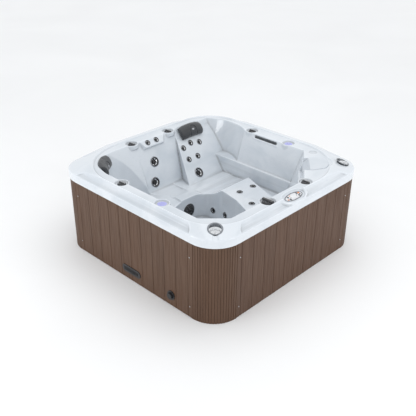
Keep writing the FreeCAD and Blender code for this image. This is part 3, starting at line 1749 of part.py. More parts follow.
def make_pumps():
    z = pump_axis_z()
    start = V(pump_x, pump_y, z)
    motor = rod(motor_radius, motor_length, start, V(0, 1, 0))
    for index in range(motor_fins):
        angle = full_turn * index / motor_fins
        groove = box(motor_radius - motor_fin_depth, motor_radius + overrun, motor_cap_length,
                     motor_length - motor_cap_length, -motor_fin_depth / 2, motor_fin_depth / 2)
        groove.rotate(V(0, 0, 0), V(0, 1, 0), angle)
        groove.translate(start)
        motor = motor.cut(groove)
    foot = box(pump_x - pump_foot_width / 2, pump_x + pump_foot_width / 2, pump_y + motor_cap_length,
               pump_y + motor_length - motor_cap_length, base_thickness, z - motor_radius / 2)
    motor = motor.fuse(foot.cut(rod(motor_radius / 2, 2 * motor_length, start, V(0, 1, 0)))).removeSplitter()
    save(motor, "jet_pump_motor")
    front = V(pump_x, pump_y - wet_length, z)
    wet = rod(wet_radius, wet_length, front, V(0, 1, 0))
    inlet = rod(wet_port_radius, wet_port_length, front - V(0, wet_port_length, 0), V(0, 1, 0))
    outlet_y = pump_y - wet_length / 2
    outlet = rod(wet_port_radius, wet_radius + wet_port_length, V(pump_x, outlet_y, z))
    save(join([wet, inlet, outlet]), "jet_pump_wet_end")
    base_z = base_thickness + circ_radius
    circ = rod(circ_radius, circ_length, V(circ_x, circ_y, base_z), V(0, 1, 0))
    nose_start = V(circ_x, circ_y - circ_nose_length, base_z)
    nose = rod(circ_nose_radius, circ_nose_length, nose_start, V(0, 1, 0))
    spout_y = circ_y + circ_spout_radius
    spout_length = heater_y - heater_length / 2 - spout_y
    spout = rod(circ_spout_radius, spout_length, V(circ_x, spout_y, heater_z), V(0, 1, 0))
    save(join([circ, nose, spout]), "circulation_pump")


def make_heater():
    start = V(heater_x, heater_y - heater_length / 2, heater_z)
    body = rod(heater_radius, heater_length, start, V(0, 1, 0))
    nuts = [rod(heater_nut_radius, heater_nut_length, start, V(0, 1, 0)),
            rod(heater_nut_radius, heater_nut_length, start + V(0, heater_length - heater_nut_length, 0), V(0, 1, 0))]
    body = join([body] + nuts)
    feet = []
    for share in heater_foot_shares:
        y = start.y + heater_length * share
        feet.append(box(heater_x - heater_radius, heater_x + heater_radius, y - heater_bracket / 2,
                        y + heater_bracket / 2, base_thickness, heater_z))
    body = body.fuse(feet)
    save(body.removeSplitter(), "heater")
    low = heater_z + heater_nut_radius + running_gap
    outer = box(heater_x - box_depth / 2, heater_x + box_depth / 2, heater_y - box_length / 2,
                heater_y + box_length / 2, low, low + box_height)
    edges = [edge for edge in outer.Edges if abs(edge.Vertexes[0].Z - edge.Vertexes[1].Z) > box_wall]
    outer = outer.makeFillet(box_radius, edges)
    inner = box(heater_x - box_depth / 2 + box_wall, heater_x + box_depth / 2 - box_wall,
                heater_y - box_length / 2 + box_wall, heater_y + box_length / 2 - box_wall, low + box_wall,
                low + box_height - box_wall)
    save(outer.cut(inner), "control_box")


def make_ozone():
    line = frame_line() - base_rim_wall - base_setback - 2 * post_inset - board_thickness - running_gap
    body = box(line - ozone_depth, line, ozone_y - ozone_length / 2, ozone_y + ozone_length / 2, ozone_z,
               ozone_z + ozone_height)
    edges = [edge for edge in body.Edges if abs(edge.Vertexes[0].X - edge.Vertexes[1].X) > box_wall]
    body = body.makeFillet(box_radius, edges)
    nozzle = rod(manifold_port_radius / 2, 2 * overrun, V(line - ozone_depth / 2, ozone_y, ozone_z - 2 * overrun))
    save(body.fuse(nozzle).removeSplitter(), "ozone_generator")


def make_pipes():
    place, normal = suction_frame()
    start = place - normal * suction_body_length
    low_z = base_thickness + pipe_radius + running_gap
    pump_z = pump_axis_z()
    drop_x = start.x - 2 * pipe_bend
    suction = route_pipe([
        (start.x, start.y, start.z),
        (drop_x, start.y, start.z - normal.z / normal.x * 2 * pipe_bend),
        (drop_x, start.y, low_z),
        (pump_x, start.y, low_z),
        (pump_x, start.y, pump_z),
        (pump_x, pump_y - wet_length - wet_port_length, pump_z),
    ], pipe_radius, pipe_bore())
    save(suction, "suction_pipe")
    outlet_y = pump_y - wet_length / 2
    outlet_z = pump_z + wet_radius + wet_port_length
    drop_x = pump_x - wet_length - pipe_bend
    feed = route_pipe([
        (pump_x, outlet_y, outlet_z),
        (pump_x, outlet_y, outlet_z + pipe_bend),
        (drop_x, outlet_y, outlet_z + pipe_bend),
        (drop_x, outlet_y, low_z),
        (-manifold_place, outlet_y, low_z),
        (-manifold_place, manifold_south + manifold_length, low_z),
    ], pipe_radius, pipe_bore())
    save(feed, "feed_pipe")
    port = V(canister_x, canister_y, well_floor_z - canister_depth - canister_wall - 2 * overrun)
    circ_z = base_thickness + circ_radius
    nose_y = circ_y - circ_nose_length
    skimmer = route_pipe([
        (port.x, port.y, port.z),
        (port.x, port.y, circ_z),
        (port.x, nose_y - pipe_bend, circ_z),
        (circ_x, nose_y - pipe_bend, circ_z),
        (circ_x, nose_y, circ_z),
    ], pipe_radius, pipe_bore())
    save(skimmer, "skimmer_pipe")
    start = V(-manifold_place, manifold_south, low_z)
    body = rod(manifold_radius, manifold_length, start + V(0, 0, manifold_radius - pipe_radius), V(0, 1, 0))
    pitch = manifold_length / manifold_port_count
    ports = []
    for index in range(manifold_port_count):
        y = manifold_south + pitch * (index + 1 / 2)
        port = rod(manifold_port_radius, manifold_radius + 2 * manifold_port_radius, V(-manifold_place, y, start.z))
        ports.append(port)
    save(body.fuse(ports).removeSplitter(), "water_manifold")


def pipe_bore():
    return pipe_radius - pipe_wall


def make_supports():
    blocks = []
    high = floor_z - shell_wall
    for x_share, y_share in support_shares:
        x = x_share * lip_half
        y = y_share * lip_half
        block = box(x - support_size / 2, x + support_size / 2, y - support_size / 2, y + support_size / 2,
                    base_thickness, high)
        blocks.append(block)
    save(group(blocks), "shell_supports")


def main():
    save(make_shell(), "acrylic_shell")
    make_knobs()
    make_valves()
    make_lights()
    make_cup_liners()
    make_jets()
    make_suction()
    make_waterfall()
    make_filter()
    make_panel()
    make_pillows()
    make_planks()
    make_corners()
    make_screws()
    make_vent()
    make_drain()
    make_base()
    make_frame()
    make_boards()
    make_pumps()
    make_heater()
    make_ozone()
    make_pipes()
    make_supports()


main()
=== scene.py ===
"""Looks of a free-standing moulded acrylic hot tub, built around its fixed CAD frame."""

import logging
import math
from collections.abc import Callable
from dataclasses import dataclass, field
from enum import Enum

import bpy
import numpy
from mathutils import Matrix, Vector, kdtree


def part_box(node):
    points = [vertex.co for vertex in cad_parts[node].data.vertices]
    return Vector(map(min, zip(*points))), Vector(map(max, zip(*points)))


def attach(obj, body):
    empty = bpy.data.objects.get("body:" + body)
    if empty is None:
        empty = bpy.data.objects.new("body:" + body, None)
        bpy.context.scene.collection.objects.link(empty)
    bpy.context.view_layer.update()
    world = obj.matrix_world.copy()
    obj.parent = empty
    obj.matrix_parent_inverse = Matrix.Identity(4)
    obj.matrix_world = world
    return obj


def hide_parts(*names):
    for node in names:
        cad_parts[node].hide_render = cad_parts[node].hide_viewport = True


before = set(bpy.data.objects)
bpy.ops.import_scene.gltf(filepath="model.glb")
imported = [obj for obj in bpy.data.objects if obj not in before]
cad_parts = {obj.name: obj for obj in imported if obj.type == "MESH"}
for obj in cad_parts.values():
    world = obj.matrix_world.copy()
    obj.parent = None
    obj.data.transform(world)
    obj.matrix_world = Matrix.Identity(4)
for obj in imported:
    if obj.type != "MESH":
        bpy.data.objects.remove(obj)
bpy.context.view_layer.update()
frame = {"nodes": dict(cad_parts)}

LOG = logging.getLogger("hot_tub")
UP = Vector((0.0, 0.0, 1.0))
MM = 0.001
CREASE = "crease"
FULL_TURN = 360.0
WELD_GAP = 0.00002
RING_GAP = 0.00001
EASE = 0.5
Triple = tuple[float, float, float]
Piece = bpy.types.Object
Socket = bpy.types.NodeSocket
Sockets = tuple[Socket, Socket, Socket]


class Pattern(Enum):
    """How a finish varies over a surface."""

    MARBLE = "marble"
    GRAIN_X = "grain along x faces"
    GRAIN_Y = "grain along y faces"
    BRUSHED = "brushed"
    SPECKLED = "speckled"
    MOTTLED = "mottled"
    LED = "led lens"


@dataclass(frozen=True)
class Finish:
    """One node material's colours and surface.

    Attributes:
        base: Main colour, linear.
        accent: Second colour that the pattern brings in, linear.
        pattern: How the accent is spread.
        scale: Size of the pattern's detail, in repeats a metre.
        rough: Lowest and highest roughness.
        metallic: 1 for bare metal.
        bump: Height of the surface detail in metres.
        coat: Weight of the clear gloss layer.
        sheen: Weight of the soft edge glow of foam or cloth.
    """

    base: Triple
    accent: Triple
    pattern: Pattern
    scale: float
    rough: tuple[float, float]
    metallic: float = 0.0
    bump: float = 0.0
    coat: float = 0.0
    sheen: float = 0.0


class NodeMaker:
    """Builds a procedural material from a finish.

    Ranges are given as input start, input end, output start and output end.
    """

    STREAK_STRETCH = (1.0, 0.55, 1.3)
    STREAK_TURN = (0.3, 0.2, math.radians(35))
    FINE_STREAKS = 7
    CLOUDS = (0.42, 0.68)
    THREADS = (0.56, 0.74, 0.0, 0.55)
    STREAK_WEIGHT = 0.75
    # Painted shade in hollows and painted highlights on edges, read from the shell's crease depths.
    HOLLOWS = (0.0006, 0.005, 0.0, 0.85)
    HOLLOW_SHADE = 0.3
    EDGES = (-0.0008, -0.005, 0.0, 0.8)
    EDGE_HIGHLIGHT = 1.12
    BOARD_WIDTH = 0.1506
    BOARD_START = 3.012
    BOARD_TONES = (0.0, 1.0, 0.55, 0.95)
    FIBRE_STRETCH = (1.0, 1.0, 0.035)
    FIBRES = (0.38, 0.66)
    WEATHER_STRETCH = (1.0, 1.0, 0.25)
    WEATHER_SCALE = 5.0
    WEATHER = (0.45, 0.75, 0.0, 0.5)
    WEATHER_SHADE = 0.72
    BRUSH_STRETCH = (1.0, 1.0, 0.15)
    BRUSH_LINES = (0.35, 0.65)
    BLOTCH_SCALE = 22.0
    SPECKLE_CLOUD_SCALE = 9.0
    DRIFT = (0.35, 0.7)
    FINE_MOTTLE = 30
    LED_CELLS = (0.1, 0.5)
    ROUGH_FROM = (0.3, 0.7)

    def __init__(self, name: str, finish: Finish) -> None:
        """Starts an empty material.

        Args:
            name: The material's name.
            finish: The colours and surface to build.
        """
        self.finish = finish
        self.material = bpy.data.materials.new(name)
        self.material.use_nodes = True
        self.tree = self.material.node_tree
        self.tree.nodes.clear()
        self.link = self.tree.links.new
        self.shader = self.node("BsdfPrincipled")
        self.link(self.shader.outputs["BSDF"], self.node("OutputMaterial").inputs["Surface"])
        self.place = self.node("TexCoord").outputs["Object"]

    def node(self, kind: str, **values: float | tuple) -> bpy.types.Node:
        """Adds a node.

        Args:
            kind: Its type's name after ShaderNode.
            values: Values of its inputs, with _ for a blank.

        Returns:
            The node.
        """
        node = self.tree.nodes.new("ShaderNode" + kind)
        for name, value in values.items():
            node.inputs[name.replace("_", " ")].default_value = value
        return node

    def stretched(self, scale: Triple, turn: Triple = (0.0, 0.0, 0.0)) -> Socket:
        """Scales and turns the object coordinates.

        Args:
            scale: Repeats along each axis.
            turn: Euler turn in radians.

        Returns:
            The vector socket.
        """
        node = self.node("Mapping", Scale=scale, Rotation=turn)
        self.link(self.place, node.inputs["Vector"])
        return node.outputs["Vector"]

    def noise(self, vector: Socket, scale: float, detail: float = 4.0, distortion: float = 0.0) -> Socket:
        """Adds a noise texture.

        Args:
            vector: The socket with its coordinates.
            scale: Repeats a unit.
            detail: Octaves.
            distortion: How far the noise bends itself.

        Returns:
            The value socket.
        """
        node = self.node("TexNoise", Scale=scale, Detail=detail, Distortion=distortion)
        self.link(vector, node.inputs["Vector"])
        return node.outputs["Fac"]

    def spread(self, value: Socket, low: float, high: float, out_low: float = 0.0,
               out_high: float = 1.0) -> Socket:
        """Maps a value from one range to another, clamped.

        Args:
            value: The socket to map.
            low: Start of the input range.
            high: End of the input range.
            out_low: Output at the start.
            out_high: Output at the end.

        Returns:
            The mapped value socket.
        """
        node = self.node("MapRange", From_Min=low, From_Max=high, To_Min=out_low, To_Max=out_high)
        self.link(value, node.inputs["Value"])
        return node.outputs["Result"]

    def maths(self, operation: str, first: Socket, second: Socket | float) -> Socket:
        """Adds a math node.

        Args:
            operation: The node's operation name.
            first: A socket.
            second: A socket or a number.

        Returns:
            The value socket.
        """
        node = self.node("Math")
        node.operation = operation
        self.link(first, node.inputs[0])
        if isinstance(second, (int, float)):
            node.inputs[1].default_value = second
        else:
            self.link(second, node.inputs[1])
        return node.outputs[0]

    def mixed(self, factor: Socket, first: Triple, second: Triple, under: Socket | None = None) -> Socket:
        """Mixes two colours by a factor.

        Args:
            factor: The mixing socket.
            first: Triple at 0, unless a socket is given.
            second: Triple at 1.
            under: A colour socket that takes the first colour's place.

        Returns:
            The colour socket.
        """
        node = self.node("Mix")
        node.data_type = "RGBA"
        self.link(factor, node.inputs["Factor"])
        colours = [socket for socket in node.inputs if socket.type == "RGBA"]
        colours[0].default_value = (*first, 1.0)
        colours[1].default_value = (*second, 1.0)
        if under is not None:
            self.link(under, colours[0])
        return next(socket for socket in node.outputs if socket.type == "RGBA")

    def bumped(self, height: Socket, distance: float) -> None:
        """Drives the shader's normal with a bump.

        Args:
            height: The height socket.
            distance: Height in metres of one unit.
        """
        node = self.node("Bump", Distance=distance)
        self.link(height, node.inputs["Height"])
        self.link(node.outputs["Normal"], self.shader.inputs["Normal"])

    def marble(self) -> Sockets:
        """Pale acrylic with drifting streaks, with painted shade in hollows and painted highlights on edges.

        Returns:
            Colour, roughness and bump sockets.
        """
        finish = self.finish
        drift = self.stretched(self.STREAK_STRETCH, self.STREAK_TURN)
        soft = self.noise(drift, finish.scale, 5.0, 1.6)
        fine = self.noise(drift, finish.scale * self.FINE_STREAKS, 6.0, 2.4)
        clouds = self.spread(soft, *self.CLOUDS)
        threads = self.spread(fine, *self.THREADS)
        share = self.maths("MULTIPLY", self.maths("MAXIMUM", clouds, threads), self.STREAK_WEIGHT)
        colour = self.mixed(share, finish.base, finish.accent)
        crease = self.node("Attribute")
        crease.attribute_name = CREASE
        # Painted shade darkens the hollows and painted highlights lighten the edges.
        for span, strength in ((self.HOLLOWS, self.HOLLOW_SHADE), (self.EDGES, self.EDGE_HIGHLIGHT)):
            tone = tuple(part * strength for part in finish.base)
            colour = self.mixed(self.spread(crease.outputs["Fac"], *span), finish.base, tone, colour)
        return colour, soft, fine

    def grain(self, across: str) -> Sockets:
        """Brown moulded boards, each a little different, with upright grain.

        Args:
            across: The axis that the boards are counted along.

        Returns:
            Colour, roughness and bump sockets.
        """
        finish = self.finish
        split = self.node("SeparateXYZ")
        self.link(self.place, split.inputs[0])
        moved = self.maths("ADD", split.outputs[across], self.BOARD_START)
        board = self.maths("FLOOR", self.maths("DIVIDE", moved, self.BOARD_WIDTH), 0)
        tone = self.node("TexWhiteNoise")
        tone.noise_dimensions = "1D"
        self.link(board, tone.inputs["W"])
        fibres = self.noise(self.stretched(self.FIBRE_STRETCH), finish.scale, 6.0, 0.4)
        cloud = self.noise(self.stretched(self.WEATHER_STRETCH), self.WEATHER_SCALE, 3.0)
        strands = self.spread(fibres, *self.FIBRES)
        share = self.maths("MULTIPLY", strands, self.spread(tone.outputs["Value"], *self.BOARD_TONES))
        colour = self.mixed(share, finish.base, finish.accent)
        weathered = tuple(part * self.WEATHER_SHADE for part in finish.base)
        colour = self.mixed(self.spread(cloud, *self.WEATHER), finish.base, weathered, colour)
        return colour, strands, fibres

    def brushed(self) -> Sockets:
        """Metal with fine turned lines.

        Returns:
            Colour, roughness and bump sockets.
        """
        finish = self.finish
        lines = self.noise(self.stretched(self.BRUSH_STRETCH), finish.scale, 4.0)
        blotch = self.noise(self.place, self.BLOTCH_SCALE, 3.0)
        return self.mixed(self.spread(lines, *self.BRUSH_LINES), finish.base, finish.accent), blotch, lines

    def cells(self, randomness: float) -> Socket:
        """Adds a pattern of small cells at the finish's scale.

        Args:
            randomness: 0 for an even grid, 1 for loose cells.

        Returns:
            The distance socket.
        """
        node = self.node("TexVoronoi", Scale=self.finish.scale, Randomness=randomness)
        self.link(self.place, node.inputs["Vector"])
        return node.outputs["Distance"]

    def speckled(self) -> Sockets:
        """Moulded plastic or foam with a fine leathery texture.

        Returns:
            Colour, roughness and bump sockets.
        """
        finish = self.finish
        pores = self.cells(1.0)
        cloud = self.noise(self.place, self.SPECKLE_CLOUD_SCALE, 4.0)
        return self.mixed(self.spread(cloud, *self.DRIFT), finish.base, finish.accent), cloud, pores

    def mottled(self) -> Sockets:
        """Plain material with slow colour drift and a fine surface.

        Returns:
            Colour, roughness and bump sockets.
        """
        finish = self.finish
        cloud = self.noise(self.place, finish.scale, 5.0, 0.6)
        fine = self.noise(self.place, finish.scale * self.FINE_MOTTLE, 3.0)
        return self.mixed(self.spread(cloud, *self.DRIFT), finish.base, finish.accent), cloud, fine

    def led(self) -> Sockets:
        """A frosted lens with a fine grid of cells.

        Returns:
            Colour, roughness and bump sockets.
        """
        finish = self.finish
        grid = self.cells(0.0)
        shown = self.spread(grid, *self.LED_CELLS)
        return self.mixed(shown, finish.base, finish.accent), shown, grid

    def build(self) -> bpy.types.Material:
        """Builds the whole material.

        Returns:
            The finished material.
        """
        finish = self.finish
        makers = {
            Pattern.MARBLE: self.marble,
            Pattern.GRAIN_X: lambda: self.grain("X"),
            Pattern.GRAIN_Y: lambda: self.grain("Y"),
            Pattern.BRUSHED: self.brushed,
            Pattern.SPECKLED: self.speckled,
            Pattern.MOTTLED: self.mottled,
            Pattern.LED: self.led,
        }
        colour, slow, quick = makers[finish.pattern]()
        self.link(colour, self.shader.inputs["Base Color"])
        rough = self.spread(slow, *self.ROUGH_FROM, *finish.rough)
        self.link(rough, self.shader.inputs["Roughness"])
        if finish.bump:
            self.bumped(quick, finish.bump)
        gloss = {"Metallic": finish.metallic, "Coat Weight": finish.coat, "Sheen Weight": finish.sheen}
        for name, value in gloss.items():
            self.shader.inputs[name].default_value = value
        return self.material


FINISHES = {
    "acrylic": Finish((0.665, 0.7, 0.74), (0.55, 0.6, 0.65), Pattern.MARBLE, 2.2, (0.1, 0.17), coat=0.35),
    "knob_silver": Finish((0.46, 0.47, 0.49), (0.36, 0.37, 0.39), Pattern.BRUSHED, 300.0, (0.16, 0.24), 0.85),
    "knob_dark": Finish((0.016, 0.016, 0.018), (0.03, 0.03, 0.033),
        Pattern.MOTTLED, 30.0, (0.16, 0.3), coat=0.4),
    "valve_plastic": Finish((0.7, 0.7, 0.68), (0.6, 0.6, 0.57), Pattern.MOTTLED, 20.0, (0.35, 0.5)),
    "lens": Finish((0.3, 0.31, 0.66), (0.42, 0.43, 0.78), Pattern.LED, 260.0, (0.2, 0.35), bump=0.0006),
    # Real steel of the cup liners, painted dark above as shade and dark reflection, and near white in the
    # bowl as a painted reflection of the sky.
    "cup_trim": Finish((0.2, 0.21, 0.23), (0.15, 0.16, 0.17), Pattern.BRUSHED, 260.0, (0.22, 0.34), 0.9),
    "cup_bowl_painted_reflection": Finish((0.93, 0.94, 0.95), (0.88, 0.89, 0.9), Pattern.BRUSHED, 200.0, (0.2, 0.3), 0.1),
    "jet_steel": Finish((0.4, 0.41, 0.43), (0.32, 0.33, 0.35), Pattern.BRUSHED, 260.0, (0.1, 0.2), 1.0),
    "chrome": Finish((0.86, 0.87, 0.89), (0.76, 0.77, 0.79), Pattern.BRUSHED, 260.0, (0.06, 0.14), 1.0),
    "spout": Finish((0.17, 0.18, 0.19), (0.13, 0.14, 0.15), Pattern.MOTTLED, 20.0, (0.3, 0.4)),
    "panel_trim": Finish((0.33, 0.34, 0.36), (0.25, 0.26, 0.28), Pattern.BRUSHED, 220.0, (0.2, 0.32), 0.6),
    "cover_dark": Finish((0.018, 0.018, 0.02), (0.035, 0.035, 0.038),
        Pattern.SPECKLED, 900.0, (0.35, 0.5), bump=0.00015),
    "lid_plastic": Finish((0.65, 0.685, 0.725), (0.59, 0.63, 0.675), Pattern.MOTTLED, 6.0, (0.25, 0.35)),
    "filter_fabric": Finish((0.82, 0.82, 0.8), (0.7, 0.71, 0.7),
        Pattern.SPECKLED, 500.0, (0.8, 0.95), bump=0.0004),
    "display_glass": Finish((0.78, 0.79, 0.8), (0.72, 0.73, 0.75),
        Pattern.MOTTLED, 40.0, (0.05, 0.1), coat=0.6),
    "button_rubber": Finish((0.09, 0.092, 0.1), (0.06, 0.062, 0.07),
        Pattern.SPECKLED, 1500.0, (0.5, 0.65), bump=0.0001),
    "pillow_foam": Finish((0.024, 0.026, 0.03), (0.036, 0.039, 0.044),
        Pattern.SPECKLED, 700.0, (0.42, 0.6), bump=0.0003, sheen=0.25),
    "screw_steel": Finish((0.6, 0.6, 0.6), (0.45, 0.45, 0.46), Pattern.BRUSHED, 400.0, (0.2, 0.35), 1.0),
    "base_plastic": Finish((0.03, 0.028, 0.026), (0.05, 0.045, 0.04),
        Pattern.SPECKLED, 500.0, (0.5, 0.7), bump=0.0003),
    "frame_wood": Finish((0.42, 0.27, 0.13), (0.3, 0.18, 0.08),
        Pattern.GRAIN_X, 60.0, (0.6, 0.8), bump=0.0004),
    "insulation": Finish((0.62, 0.58, 0.42), (0.5, 0.47, 0.34),
        Pattern.SPECKLED, 300.0, (0.8, 0.95), bump=0.0006),
    "motor_paint": Finish((0.03, 0.03, 0.034), (0.05, 0.05, 0.055),
        Pattern.SPECKLED, 700.0, (0.4, 0.55), bump=0.0002),
    "wet_plastic": Finish((0.02, 0.02, 0.022), (0.035, 0.035, 0.04), Pattern.MOTTLED, 30.0, (0.3, 0.45)),
    "heater_steel": Finish((0.5, 0.5, 0.51), (0.38, 0.38, 0.4), Pattern.BRUSHED, 200.0, (0.2, 0.35), 1.0),
    "case_plastic": Finish((0.045, 0.05, 0.055), (0.06, 0.066, 0.07),
        Pattern.SPECKLED, 600.0, (0.4, 0.55), bump=0.0002),
    "pipe_plastic": Finish((0.7, 0.7, 0.69), (0.6, 0.6, 0.58), Pattern.MOTTLED, 15.0, (0.3, 0.42)),
    "boards_x": Finish((0.096, 0.046, 0.022), (0.071, 0.032, 0.0145),
        Pattern.GRAIN_X, 90.0, (0.5, 0.66), bump=0.0006),
    "boards_y": Finish((0.09, 0.042, 0.0205), (0.066, 0.029, 0.0135),
        Pattern.GRAIN_Y, 90.0, (0.5, 0.66), bump=0.0006),
    "marks": Finish((0.04, 0.042, 0.046), (0.06, 0.062, 0.066), Pattern.MOTTLED, 60.0, (0.5, 0.6)),
    "amber": Finish((0.75, 0.25, 0.08), (0.65, 0.2, 0.06), Pattern.MOTTLED, 60.0, (0.4, 0.5)),
    "plate": Finish((0.74, 0.75, 0.77), (0.66, 0.67, 0.69), Pattern.MOTTLED, 30.0, (0.2, 0.3), coat=0.3),
    "badge": Finish((0.42, 0.43, 0.45), (0.34, 0.35, 0.37), Pattern.BRUSHED, 200.0, (0.25, 0.4), 0.6),
    "bezel": Finish((0.72, 0.74, 0.78), (0.64, 0.66, 0.7), Pattern.MOTTLED, 20.0, (0.15, 0.25), coat=0.3),
}


class Palette:
    """Makes each finish once."""

    def __init__(self) -> None:
        """Starts with no material made."""
        self.made: dict[str, bpy.types.Material] = {}

    def get(self, key: str) -> bpy.types.Material:
        """Gives a finish's material.

        Args:
            key: A key of FINISHES.

        Returns:
            The material.
        """
        if key not in self.made:
            self.made[key] = NodeMaker(key, FINISHES[key]).build()
        return self.made[key]


class SubAssembly:
    """Blender operations that every sub-assembly has."""

    palette = Palette()
    nodes = frame["nodes"]

    def focus(self, piece: Piece) -> None:
        """Makes one object the only selected and active one.

        Args:
            piece: The object.
        """
        bpy.ops.object.select_all(action="DESELECT")
        piece.select_set(True)
        bpy.context.view_layer.objects.active = piece

    def edit(self) -> None:
        """Opens the active mesh with everything selected."""
        bpy.ops.object.mode_set(mode="EDIT")
        bpy.ops.mesh.select_all(action="SELECT")

    def paint(self, piece: Piece, *keys: str) -> None:
        """Gives an object its materials in order.

        Args:
            piece: The object.
            keys: Finish keys, one for each material index.
        """
        piece.data.materials.clear()
        for key in keys:
            piece.data.materials.append(self.palette.get(key))

    def dress(self, node: str, key: str) -> None:
        """Gives a CAD node a finish, in each of its slots.

        Args:
            node: The CAD node's name.
            key: A finish key.
        """
        piece = self.nodes[node]
        material = self.palette.get(key)
        if not piece.material_slots:
            piece.data.materials.append(material)
        for slot in piece.material_slots:
            slot.material = material

    def lifted(self, node: str, name: str) -> Piece:
        """Copies a CAD node's mesh into a new object with its seams joined.

        Args:
            node: The CAD node's name.
            name: The new object's name.

        Returns:
            The new object.
        """
        mesh = self.nodes[node].data.copy()
        piece = bpy.data.objects.new(name, mesh)
        bpy.context.scene.collection.objects.link(piece)
        self.focus(piece)
        bpy.ops.mesh.customdata_custom_splitnormals_clear()
        self.edit()
        bpy.ops.mesh.remove_doubles(threshold=WELD_GAP)
        bpy.ops.mesh.normals_make_consistent(inside=False)
        bpy.ops.object.mode_set(mode="OBJECT")
        return piece

    def apply(self, piece: Piece, kind: str, **values: float | str) -> None:
        """Adds a modifier and applies it.

        Args:
            piece: The object.
            kind: The modifier's type.
            values: Its settings.
        """
        self.focus(piece)
        modifier = piece.modifiers.new(kind.lower(), kind)
        for key, value in values.items():
            setattr(modifier, key, value)
        bpy.ops.object.modifier_apply(modifier=modifier.name)

    def smooth(self, piece: Piece, angle: float = 40.0) -> None:
        """Shades an object smooth up to an angle.

        Args:
            piece: The object.
            angle: In degrees.
        """
        self.focus(piece)
        bpy.ops.object.shade_smooth_by_angle(angle=math.radians(angle))

    def turned(self, name: str, profile: tuple, segments: int, closed: bool = False) -> Piece:
        """Makes a round piece by extruding a circle along a profile.

        Args:
            name: The new object's name.
            profile: Radius and height of each ring, in millimetres.
            segments: Sides of the circle.
            closed: True where the last ring joins the first, which leaves a hole on the axis.

        Returns:
            The new object.
        """
        radius, height = profile[0]
        fill = "NOTHING" if closed else "NGON"
        bpy.ops.mesh.primitive_circle_add(vertices=segments, radius=radius * MM, fill_type=fill,
                                          location=(0, 0, height * MM))
        piece = bpy.context.active_object
        piece.name = name
        bpy.ops.object.transform_apply(location=True, rotation=True, scale=True)
        self.edit()
        rings = profile[1:] + (profile[:1] if closed else ())
        for ring_radius, ring_height in rings:
            move = {"value": (0, 0, (ring_height - height) * MM)}
            if closed:
                bpy.ops.mesh.extrude_edges_move(TRANSFORM_OT_translate=move)
            else:
                bpy.ops.mesh.extrude_region_move(TRANSFORM_OT_translate=move)
            ratio = ring_radius / radius
            bpy.ops.transform.resize(value=(ratio, ratio, 1), center_override=(0, 0, ring_height * MM))
            radius, height = ring_radius, ring_height
        bpy.ops.mesh.select_all(action="SELECT")
        if closed:
            bpy.ops.mesh.remove_doubles(threshold=RING_GAP)
        bpy.ops.mesh.normals_make_consistent(inside=False)
        bpy.ops.object.mode_set(mode="OBJECT")
        return piece

    def block(self, name: str, size: Triple, centre: Triple, bevel: float, turn: float = 0.0) -> Piece:
        """Makes a bar with rounded edges.

        Args:
            name: The new object's name.
            size: Length, width and height in millimetres.
            centre: Its centre in millimetres.
            bevel: Edge radius in millimetres.
            turn: Turn about the upright axis in degrees.

        Returns:
            The new object.
        """
        bpy.ops.mesh.primitive_cube_add(size=MM)
        piece = bpy.context.active_object
        piece.name = name
        piece.scale = size
        bpy.ops.object.transform_apply(location=True, rotation=True, scale=True)
        self.edit()
        bpy.ops.mesh.bevel(offset=bevel * MM, segments=2, affect="EDGES")
        bpy.ops.object.mode_set(mode="OBJECT")
        spin = Matrix.Rotation(math.radians(turn), 4, "Z")
        piece.data.transform(spin @ Matrix.Translation(Vector(centre) * MM))
        return piece

    def joined(self, name: str, pieces: list[Piece]) -> Piece:
        """Joins objects into one, each keeping its material index.

        Args:
            name: The joined object's name.
            pieces: The objects; the first one's materials lead.

        Returns:
            The joined object.
        """
        bpy.ops.object.select_all(action="DESELECT")
        for piece in pieces:
            piece.select_set(True)
        bpy.context.view_layer.objects.active = pieces[0]
        bpy.ops.object.join()
        pieces[0].name = name
        return pieces[0]

    def mark(self, piece: Piece, index: int,
             chosen: Callable[[float, float], bool] = lambda reach, height: True) -> None:
        """Gives a material index to the faces that a rule picks.

        Args:
            piece: The object, modelled at the origin.
            index: The material index.
            chosen: Takes a face's distance from the axis and its height, in millimetres.
        """
        for polygon in piece.data.polygons:
            middle = polygon.center
            if chosen(math.hypot(middle.x, middle.y) / MM, middle.z / MM):
                polygon.material_index = index

    def copied(self, piece: Piece, name: str) -> Piece:
        """Copies an object with its own mesh.

        Args:
            piece: The object.
            name: The copy's name.

        Returns:
            The copy.
        """
        copy = bpy.data.objects.new(name, piece.data.copy())
        bpy.context.scene.collection.objects.link(copy)
        return copy

    def put(self, piece: Piece, place: Vector, normal: Vector = UP, spin: float = 0.0) -> None:
        """Moves a mesh so that its own up points along a normal.

        Args:
            piece: The object, modelled at the origin.
            place: Where the origin goes, in metres.
            normal: Where its up points.
            spin: Turn about its own up, in degrees.
        """
        turn = UP.rotation_difference(normal).to_matrix().to_4x4()
        own = Matrix.Rotation(math.radians(spin), 4, "Z")
        piece.data.transform(Matrix.Translation(place) @ turn @ own)
        piece.data.update()


